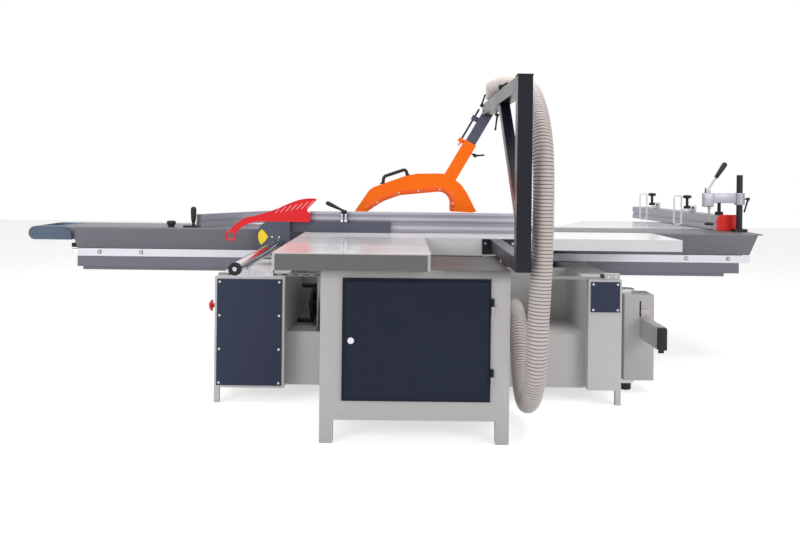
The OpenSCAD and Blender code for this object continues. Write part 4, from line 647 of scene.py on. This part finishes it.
# rip fence lever: black tapered grip on two bright posts
ripSet = dict(at=(-318.0, 1207.7), top=966.0, tip=(-424.0, 1016.0), postX=(-329.0, -307.0), postY=1195.7,
              post=[(9, 902.2), (10, 904), (10, 912), (8, 914), (8, 948), (6, 950)],
              hub=[(13, 942.6), (16, 944), (17, 952), (17, 968), (14, 972), (5, 973)],
              gripRun=[0, 0.2, 0.45, 0.8, 0.93, 0.98, 1], gripRadius=[8, 7, 9.5, 13, 12.5, 9, 4])


def ripHandle():
    x, y = ripSet["at"]
    posts = [turned(ripSet["post"], (p, ripSet["postY"], 0), alongZ, 20) for p in ripSet["postX"]]
    fitted("leverPosts", posts, "rip", chromeBar)
    hub = turned(ripSet["hub"], (x, y, 0), alongZ, 28)
    start, end = np.array([x, y, ripSet["top"]]), np.array([ripSet["tip"][0], y, ripSet["tip"][1]])
    run = np.linspace(0, 1, 18)
    radius = np.interp(run, ripSet["gripRun"], ripSet["gripRadius"])
    grip = sweptTube(start + (end - start) * run[:, None], radius, 22)
    obj = fitted("ripGrip", [hub, grip], "rip_lever", blackPlastic, 40)
    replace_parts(obj, "rip_lever")


ripHandle()

# guide rail's end: bolt in the cap
railEnd = dict(at=(-690, -60, 775), bolt=[(9, -0.4), (9, 2), (7.5, 2.6), (5, 2.6), (4.5, 1)])
bolt = turned(railEnd["bolt"], railEnd["at"], towardsFront, 24)
fitted("railCapBolt", [bolt], "base", machineSteel)

# left bay: sheet over the low box and sheet behind the handwheels in the lightened table paint, and a dark strip
# behind the tie rail's slots as painted shade
baySet = dict(x=(-580.7, -440.3), y=(770.3, 1494.6), lid=330.0, top=650.0, sheet=4.0, corner=0.8,
              slotX=(-900.0, -280.0), slotAt=(695.6, 658.6), strip=(2.0, 8.0, 0.5))


def leftBay():
    (left, right), (near, far) = baySet["x"], baySet["y"]
    sheet, across, upright = baySet["sheet"], (left + right) / 2, (baySet["lid"] + baySet["top"]) / 2
    under = baySet["lid"] - sheet / 2
    behind = far - sheet / 2
    lid = barRings(right - left, sheet, baySet["corner"], (across, near, under), (across, far, under), soft=0.5)
    back = barRings(sheet, baySet["top"] - baySet["lid"], baySet["corner"], (left, behind, upright),
                    (right, behind, upright), soft=0.5)
    fitted("baySheets", [lid, back], "base", tablePaintLit)
    ends = [(x, *baySet["slotAt"]) for x in baySet["slotX"]]
    fitted("slotShadeBacking", [barRings(*baySet["strip"], *ends, soft=0.4)], "base", blackPlastic)


leftBay()

# guide strip: dark washers under its four bolts
stripSet = dict(x=(-1883.0, -1620.0, 1818.0, 2081.0), at=(1582.0, 674.0),
                washer=[(12.5, -0.3), (12.5, 1.2), (11.5, 1.6), (3, 1.6)])
rings = [turned(stripSet["washer"], (x, *stripSet["at"]), towardsFront, 24) for x in stripSet["x"]]
fitted("stripWashers", rings, "base", blackSteel)

# clamp block that ends the tie rail on the rear tower
tieSet = dict(size=(82.0, 33.0, 6.0), block=((1109, 712, 666.8), (1109, 684.5, 666.8)), boltX=(1088, 1126),
              boltAt=(684.6, 667), head=(8.0, 6.0), stubAt=(1067.8, 698, 667),
              stub=[(10, 0), (12, 2), (12, 16), (9, 18)])
fitted("tieBlock", [barRings(*tieSet["size"], *tieSet["block"])], "base", bodyPaint)
heads = [screwHead((x, *tieSet["boltAt"]), towardsFront, *tieSet["head"]) for x in tieSet["boltX"]]
fitted("tieBolts", heads, "base", chromeBar)
stub = turned(tieSet["stub"], tieSet["stubAt"], (-1, 0, 0), 20)
fitted("tieStub", [stub], "base", blackPlastic)

# slide beam's left end: bright block below, bumper block above that rides with the carriage
endSet = dict(blockX=(-2060.0, -2021.2), blockAt=(1617.0, 666.0), block=(62.0, 54.0, 4.0),
              bumperX=(-2066.0, -2021.2), bumperAt=(1617.0, 714.0), bumper=(42.0, 26.0, 4.0))
block, bumper = (barRings(*endSet[k], *[(x, *endSet[k + "At"]) for x in endSet[k + "X"]])
                 for k in ("block", "bumper"))
fitted("beamEndBlock", [block], "base", brightAluminium)
fitted("carriageBumper", [bumper], "carriage", blackPlastic)

# support arm: dark end cap on the beam, with a foot
capSet = dict(cap=(45.0, 114.0, 6.0), capEnds=((1350, 637, 360), (1350, 612, 360)),
              foot=(30.0, 14.0, 3.0), footEnds=((1342, 619.4, 296), (1342, 612, 296)))
endCap = barRings(*capSet["cap"], *capSet["capEnds"])
foot = barRings(*capSet["foot"], *capSet["footEnds"], soft=2)
fitted("beamCap", [endCap, foot], "arm_beam", blackPlastic)
print("fences and ends fitted")


# crosscut fence: flip stops with black knobs and clear flags, and the knob that locks the fence
fenceSet = dict(pivot=(2141.0, 1800.0), angle=math.radians(5.5), stops=dict(near=2186.0, far=2783.0),
                hubAt=(2115.0, 954.0), hub=[(8, -12.4), (12, -12.4), (13, -11), (13, 11), (12, 12.4), (8, 12.4)],
                armX=(2111.0, 2032.0), armZ=960.0, arm=(24.0, 12.0, 3.0), knobAt=(2073.0, 965.6),
                windowAt=(2110.0, 966.0), window=(58.0, 46.0, 8.0), windowHalf=9.0,
                lensAt=(2112.0, 968.0), lens=[(7, -11.6), (9, -12), (10.5, -11), (10, -9), (6, -9)],
                flagAt=(2004.0, 955.0), flag=(54.0, 202.0), lockAt=(2141.0, 1864.0, 938.2), lockSize=1.15)


def onFence(points):  # from the square fence's places to the fence as it is turned
    q = np.asarray(points, float) - np.array([*fenceSet["pivot"], 0.0])
    c, t = math.cos(fenceSet["angle"]), math.sin(fenceSet["angle"])
    out = np.stack([q[..., 0] * c - q[..., 1] * t, q[..., 0] * t + q[..., 1] * c, q[..., 2]], axis=-1)
    return mm(out + np.array([*fenceSet["pivot"], 0.0]))


clearPlastic = paintedFinish("clearPlastic", tone(236, 238, 241), shift=0.02, rough=(0.08, 0.16), pebble=160.0,
                             rub=0.05, rubTone=0.95, coat=0.3)
clearPlastic.node_tree.nodes["Principled BSDF"].inputs["Alpha"].default_value = 0.72
knobShape = dict(collar=[(21, -0.4), (23, 1), (23, 17), (21, 19), (11, 19.6)],
                 head=[(10, 18), (9.5, 60), (10, 70), (16, 72), (27, 75), (30, 80), (30, 87), (27, 92), (18, 95),
                       (5, 96)])


def mushroomKnob(at, size=1.0):  # collar, stem and a domed head
    return [turned(np.array(q) * size, at, alongZ, 26) for q in knobShape.values()]


def flagLoop(at, wide, high, corner=18.0, thick=6.0):  # rounded rectangle bent from square bar, facing the front
    path = roundedOutline(wide, high, corner, 7)
    way = np.roll(path, -1, axis=0) - np.roll(path, 1, axis=0)
    way /= np.linalg.norm(way, axis=1, keepdims=True)
    out = np.stack([way[:, 1], -way[:, 0]], axis=-1)
    o = roundedOutline(2 * thick - 2, 2 * thick, 2.5, 3)
    flat = path[:, None] + out[:, None] * o[None, :, :1]
    side = np.broadcast_to(o[None, :, 1], flat.shape[:2])
    return np.array(at) + np.stack([flat[..., 0], side, flat[..., 1]], axis=-1)


def flipStop(body):
    y = fenceSet["stops"][body]
    hubAt, knobAt, windowAt, lensAt, flagAt = ((fenceSet[k + "At"][0], y, fenceSet[k + "At"][1])
                                               for k in ("hub", "knob", "window", "lens", "flag"))
    hub = turned(fenceSet["hub"], hubAt, alongY, 28)
    arm = barRings(*fenceSet["arm"], *[(x, y, fenceSet["armZ"]) for x in fenceSet["armX"]], soft=2)
    half = np.array([0.0, fenceSet["windowHalf"], 0.0])
    window = barRings(*fenceSet["window"], windowAt - half, windowAt + half)
    lens = turned(fenceSet["lens"], lensAt, alongY, 24)

    def onStop(label, parts, material, angle=35):
        return fitted(body + label, parts, body + "_stop", material, angle, place=onFence)

    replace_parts(onStop("StopArm", [hub, arm], brightAluminium), body + "_stop")
    onStop("StopKnob", mushroomKnob(knobAt), blackPlastic, 40)
    onStop("StopWindow", [window], clearPlastic)
    onStop("StopLens", [lens], blackPlastic)
    loop = closedRing(body + "StopFlag", onFence(flagLoop(flagAt, *fenceSet["flag"])))
    finishPiece(loop, body + "_stop", clearPlastic, 40)


for body in fenceSet["stops"]:
    flipStop(body)
lockKnob = mushroomKnob(fenceSet["lockAt"], fenceSet["lockSize"])
fitted("fenceLockKnob", lockKnob, "crosscut", blackPlastic, 40, place=onFence)
print("crosscut fence fitted")

# push stick: curved blade with a raised edge, pale ribs and a ring at its end
stickSet = dict(y=(1195.7, 1219.7), ring=(-978, 816), ringSize=53.0, ringCorner=26.4, ringHalf=6.8, edge=3.0, ribs=7,
                firstRib=((-717, 951), (-690, 981)), lastRib=((-535, 981), (-494, 1025)), rib=(4.0, 3.0, 1.0),
                ribY=1195.1, outline=[
    (-478, 1034), (-505, 1036), (-533, 1035), (-560, 1031), (-591, 1023), (-622, 1011), (-653, 998), (-684, 983),
    (-715, 970), (-746, 958), (-777, 948), (-808, 939), (-839, 931), (-870, 925), (-890, 919), (-913, 906),
    (-936, 889), (-959, 869), (-979, 848), (-950, 824), (-943, 838), (-928, 856), (-909, 871), (-886, 885),
    (-862, 893), (-835, 900), (-812, 902.5), (-516, 902.5), (-516, 948), (-524, 956), (-537, 966), (-527, 982)])
ribRed = paintedFinish("ribRed", tone(255, 176, 176), shift=0.03, rough=(0.26, 0.36), pebble=300.0, rub=0.1,
                       rubTone=0.9, specular=0.3)


def pushStick():
    near, far = stickSet["y"]
    blade = standing(stickSet["outline"], (far, near))
    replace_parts(fitted("pushStick", [blade], "rip", signalRed), "push_stick")
    edge = sweptTube(finer(np.vstack([blade[1], blade[1][:1]]), 4), stickSet["edge"], 10)
    fitted("pushStickEdge", [edge], "rip", signalRed, 50)
    (x, z), size = stickSet["ring"], stickSet["ringSize"]
    hoop = flagLoop((x, (near + far) / 2, z), size, size, stickSet["ringCorner"], stickSet["ringHalf"])
    finishPiece(closedRing("pushStickRing", mm(hoop)), "rip", signalRed, 40)
    lows, highs = (np.linspace(p, q, stickSet["ribs"]) for p, q in zip(stickSet["firstRib"], stickSet["lastRib"]))
    ends = standing(np.vstack([lows, highs]), (stickSet["ribY"],))[0].reshape(2, -1, 3)
    ribs = [barRings(*stickSet["rib"], p, q, up=alongY, soft=1) for p, q in zip(*ends)]
    fitted("pushStickRibs", ribs, "rip", ribRed)


pushStick()

# work clamp on its column: flat alloy arm, clevis, spindle and pad, long lever, ratchet lever
clampSet = dict(column=(2191.0, 1680.0), pivot=(1985.0, 1680.0, 1104.0), lean=math.radians(33), spindleX=1997.0,
                boss=[(20, 1012), (30, 1012), (32, 1014), (32, 1086), (30, 1088), (20, 1088)],
                barX=(2165.0, 2015.0), barZ=1054.0, bar=(30.0, 62.0, 4.0), headX=(2020.0, 1956.0), headZ=1042.0,
                head=(40.0, 88.0, 5.0), cheekX=(1971.0, 1999.0), cheekZ=1091.0, cheek=(8.0, 58.0, 3.0), cheekOff=12.0,
                spindle=[(6, 898), (7, 899), (7, 985), (11, 987), (11, 1012), (9, 1014), (7, 1015), (7, 1034)],
                pad=[(24, 880), (27, 882), (28, 886), (26, 894), (14, 898.5), (7, 899)],
                ratchet=dict(hub=(2222.6, 1680.0, 1050.0), axis=alongX, tip=(2222.0, 1680.0, 964.0), reach=30.0),
                pin=[(3.5, -18), (5, -17), (5, 17), (3.5, 18)],
                stem=[(5, -10), (9, -7), (10.5, 0), (9, 8), (7, 16), (6.2, 40), (6.2, 106)],
                grip=[(7, 96), (11, 97), (12.5, 101), (13, 110), (15, 150), (17, 186), (16.8, 198), (14, 207),
                      (9, 211), (3, 212)])


def workClamp():
    x, y = clampSet["column"]

    def flatBar(kind, off=0.0, soft=3.0):
        ends = [(end, y + off, clampSet[kind + "Z"]) for end in clampSet[kind + "X"]]
        return barRings(*clampSet[kind], *ends, soft=soft)

    boss = turned(clampSet["boss"], (x, y, 0), alongZ, 36)
    cheeks = [flatBar("cheek", off, soft=2) for off in (-clampSet["cheekOff"], clampSet["cheekOff"])]
    arm = [boss, flatBar("bar"), flatBar("head", soft=4)] + cheeks
    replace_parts(fitted("clampArmBar", arm, "clamp_arm", midSilver), "clamp_arm")
    spindleAt = (clampSet["spindleX"], y, 0)
    spindle = turned(clampSet["spindle"], spindleAt, alongZ, 24)
    fitted("clampSpindle", [spindle], "clamp_arm", midSilver)
    pad = turned(clampSet["pad"], spindleAt, alongZ, 32)
    fitted("clampPad", [pad], "clamp_arm", blackPlastic, 40)
    clampLever("clampRatchet", body="clamp_arm", **clampSet["ratchet"])


def clampHandle():
    pivot = clampSet["pivot"]
    way = (math.sin(clampSet["lean"]), 0.0, math.cos(clampSet["lean"]))
    pin = turned(clampSet["pin"], pivot, alongY, 20)
    stem = turned(clampSet["stem"], pivot, way, 24)
    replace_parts(fitted("clampStem", [pin, stem], "clamp_lever", midSilver, 40), "clamp_lever")
    grip = turned(clampSet["grip"], pivot, way, 28)
    fitted("clampGrip", [grip], "clamp_lever", blackPlastic, 40)


workClamp()
clampHandle()
print("work clamp fitted")

# carriage's left end: crank clamp for the small fence, and a lobed knob beside it
crankSet = dict(at=(-1278.0, 1526.0, 840.0), foot=[(20, 0.2), (22, 1), (22, 9), (20, 10), (9, 11), (8, 30)],
                sole=(30.0, 11.0, 4.0), soleX=(-1340.0, -1268.0), soleAt=(1526.0, 845.8),
                grip=[(8, 28), (12, 34), (14, 42), (16, 62), (17.5, 90), (17.5, 112), (15, 122), (9, 127), (3, 128)],
                knobAt=(-1416.0, 1526.0, 840.0), neck=[(19, 0.2), (20, 1), (20, 11), (14, 13), (12, 15)],
                lobes=7, rim=25.5, lobe=2.5, points=56,
                levels=[(0.7, 13.0), (0.95, 15.0), (1.0, 20.0), (1.0, 32.0), (0.94, 37.0), (0.7, 39.6), (0.3, 40.0)])


def crankClamp():
    foot, grip = (turned(crankSet[k], crankSet["at"], alongZ, 28) for k in ("foot", "grip"))
    sole = barRings(*crankSet["sole"], *[(x, *crankSet["soleAt"]) for x in crankSet["soleX"]])
    neck = turned(crankSet["neck"], crankSet["knobAt"], alongZ, 24)
    turns = np.linspace(0, 2 * np.pi, crankSet["points"], endpoint=False)
    lobes = crankSet["rim"] + crankSet["lobe"] * np.cos(crankSet["lobes"] * turns)
    rim = np.stack([np.cos(turns) * lobes, np.sin(turns) * lobes, np.zeros(len(turns))], axis=-1)
    head = np.array([rim * k + np.array(crankSet["knobAt"]) + (0, 0, h) for k, h in crankSet["levels"]])
    obj = fitted("crankClamp", [foot, sole, grip, neck, head], "carriage", blackPlastic, 40)
    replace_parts(obj, "front_clamp")


crankClamp()

# support arm housing: a black strip in the slot beside the beam as painted shade, pale slide block over the beam and
# a black bearing under the pivot
housingSet = dict(face=920.0, shadeStrip=(9.0, 86.0, 4.0), shadeStripEnds=((1328, 920.3, 463), (1328, 918.8, 463)),
                  slider=(50.0, 26.0, 5.0), sliderEnds=((1354, 920.3, 445), (1354, 906, 445)),
                  screws=((1350, 493), (1394, 505), (1394, 106)), head=(5.0, 3.0), pivot=(1272.0, 1000.0, 0.0),
                  bearing=[(10, 5), (29, 6), (32, 10), (32, 45), (30, 47.6), (8, 47.6)])
shadeStrip = barRings(*housingSet["shadeStrip"], *housingSet["shadeStripEnds"], soft=0.5)
fitted("slotShadeStrip", [shadeStrip], "swing", blackPlastic)
slider = barRings(*housingSet["slider"], *housingSet["sliderEnds"])
fitted("slideBlock", [slider], "swing", hosePlastic)
heads = [screwHead((x, housingSet["face"], z), towardsFront, *housingSet["head"]) for x, z in housingSet["screws"]]
fitted("housingScrews", heads, "swing", machineSteel)
bearing = turned(housingSet["bearing"], housingSet["pivot"], alongZ, 32)
fitted("pivotBearing", [bearing], "swing", blackPlastic)
print("support arm fitted")


# floor, world and lamps
def directSight(tree):  # 1 where a ray comes from the camera or a mirror
    path = tree.nodes.new("ShaderNodeLightPath")
    seen = tree.nodes.new("ShaderNodeMath")
    seen.operation = "MAXIMUM"
    for k, kind in enumerate(("Is Camera Ray", "Is Glossy Ray")):
        tree.links.new(path.outputs[kind], seen.inputs[k])
    return seen.outputs[0]


def makeStage():
    spec = dict(size=14.0, floor=(0.8, 0.8, 0.8), glow=0.62, ambient=0.3)
    h = spec["size"]
    floor = newMesh("floor", np.array([(-h, -h, 0), (h, -h, 0), (h, h, 0), (-h, h, 0)]), [(0, 1, 2, 3)])
    mat = bpy.data.materials.new("floorWhite")
    mat.use_nodes = True
    tree = mat.node_tree
    shader = tree.nodes["Principled BSDF"]
    shader.inputs["Base Color"].default_value = (*spec["floor"], 1)
    shader.inputs["Roughness"].default_value = 0.9
    shader.inputs["Specular IOR Level"].default_value = 0.1
    glow = tree.nodes.new("ShaderNodeMath")
    glow.operation = "MULTIPLY"
    glow.inputs[1].default_value = spec["glow"]
    tree.links.new(directSight(tree), glow.inputs[0])
    shader.inputs["Emission Color"].default_value = (1, 1, 1, 1)
    tree.links.new(glow.outputs[0], shader.inputs["Emission Strength"])
    floor.data.materials.append(mat)
    world = bpy.data.worlds.new("studio")
    scene.world = world
    world.use_nodes = True
    wt = world.node_tree
    bg = wt.nodes["Background"]
    strength = wt.nodes.new("ShaderNodeMapRange")
    strength.inputs["To Min"].default_value = spec["ambient"]
    strength.inputs["To Max"].default_value = 1.0
    wt.links.new(directSight(wt), strength.inputs["Value"])
    wt.links.new(strength.outputs["Result"], bg.inputs["Strength"])
    bg.inputs["Color"].default_value = (1, 1, 1, 1)


def softLamp(name, at, to, size, power):
    lamp = bpy.data.lights.new(name, "AREA")
    lamp.shape = "RECTANGLE"
    lamp.size, lamp.size_y = size
    lamp.energy = power
    obj = bpy.data.objects.new(name, lamp)
    scene.collection.objects.link(obj)
    way = Vector(to) - Vector(at)
    obj.matrix_world = Matrix.Translation(Vector(at)) @ way.to_track_quat("-Z", "Y").to_matrix().to_4x4()


makeStage()
lampSet = dict(topBox=dict(at=(0, -0.6, 4.2), to=(0, 0.1, 0.6), size=(6.0, 3.2), power=170),
               frontLeft=dict(at=(-3.6, -5.2, 2.6), to=(-0.2, 0, 0.6), size=(2.6, 2.2), power=95),
               frontRight=dict(at=(3.8, -5.0, 2.4), to=(0.3, 0, 0.6), size=(2.6, 2.2), power=80))
for name, values in lampSet.items():
    softLamp(name, **values)
print("stage lit")
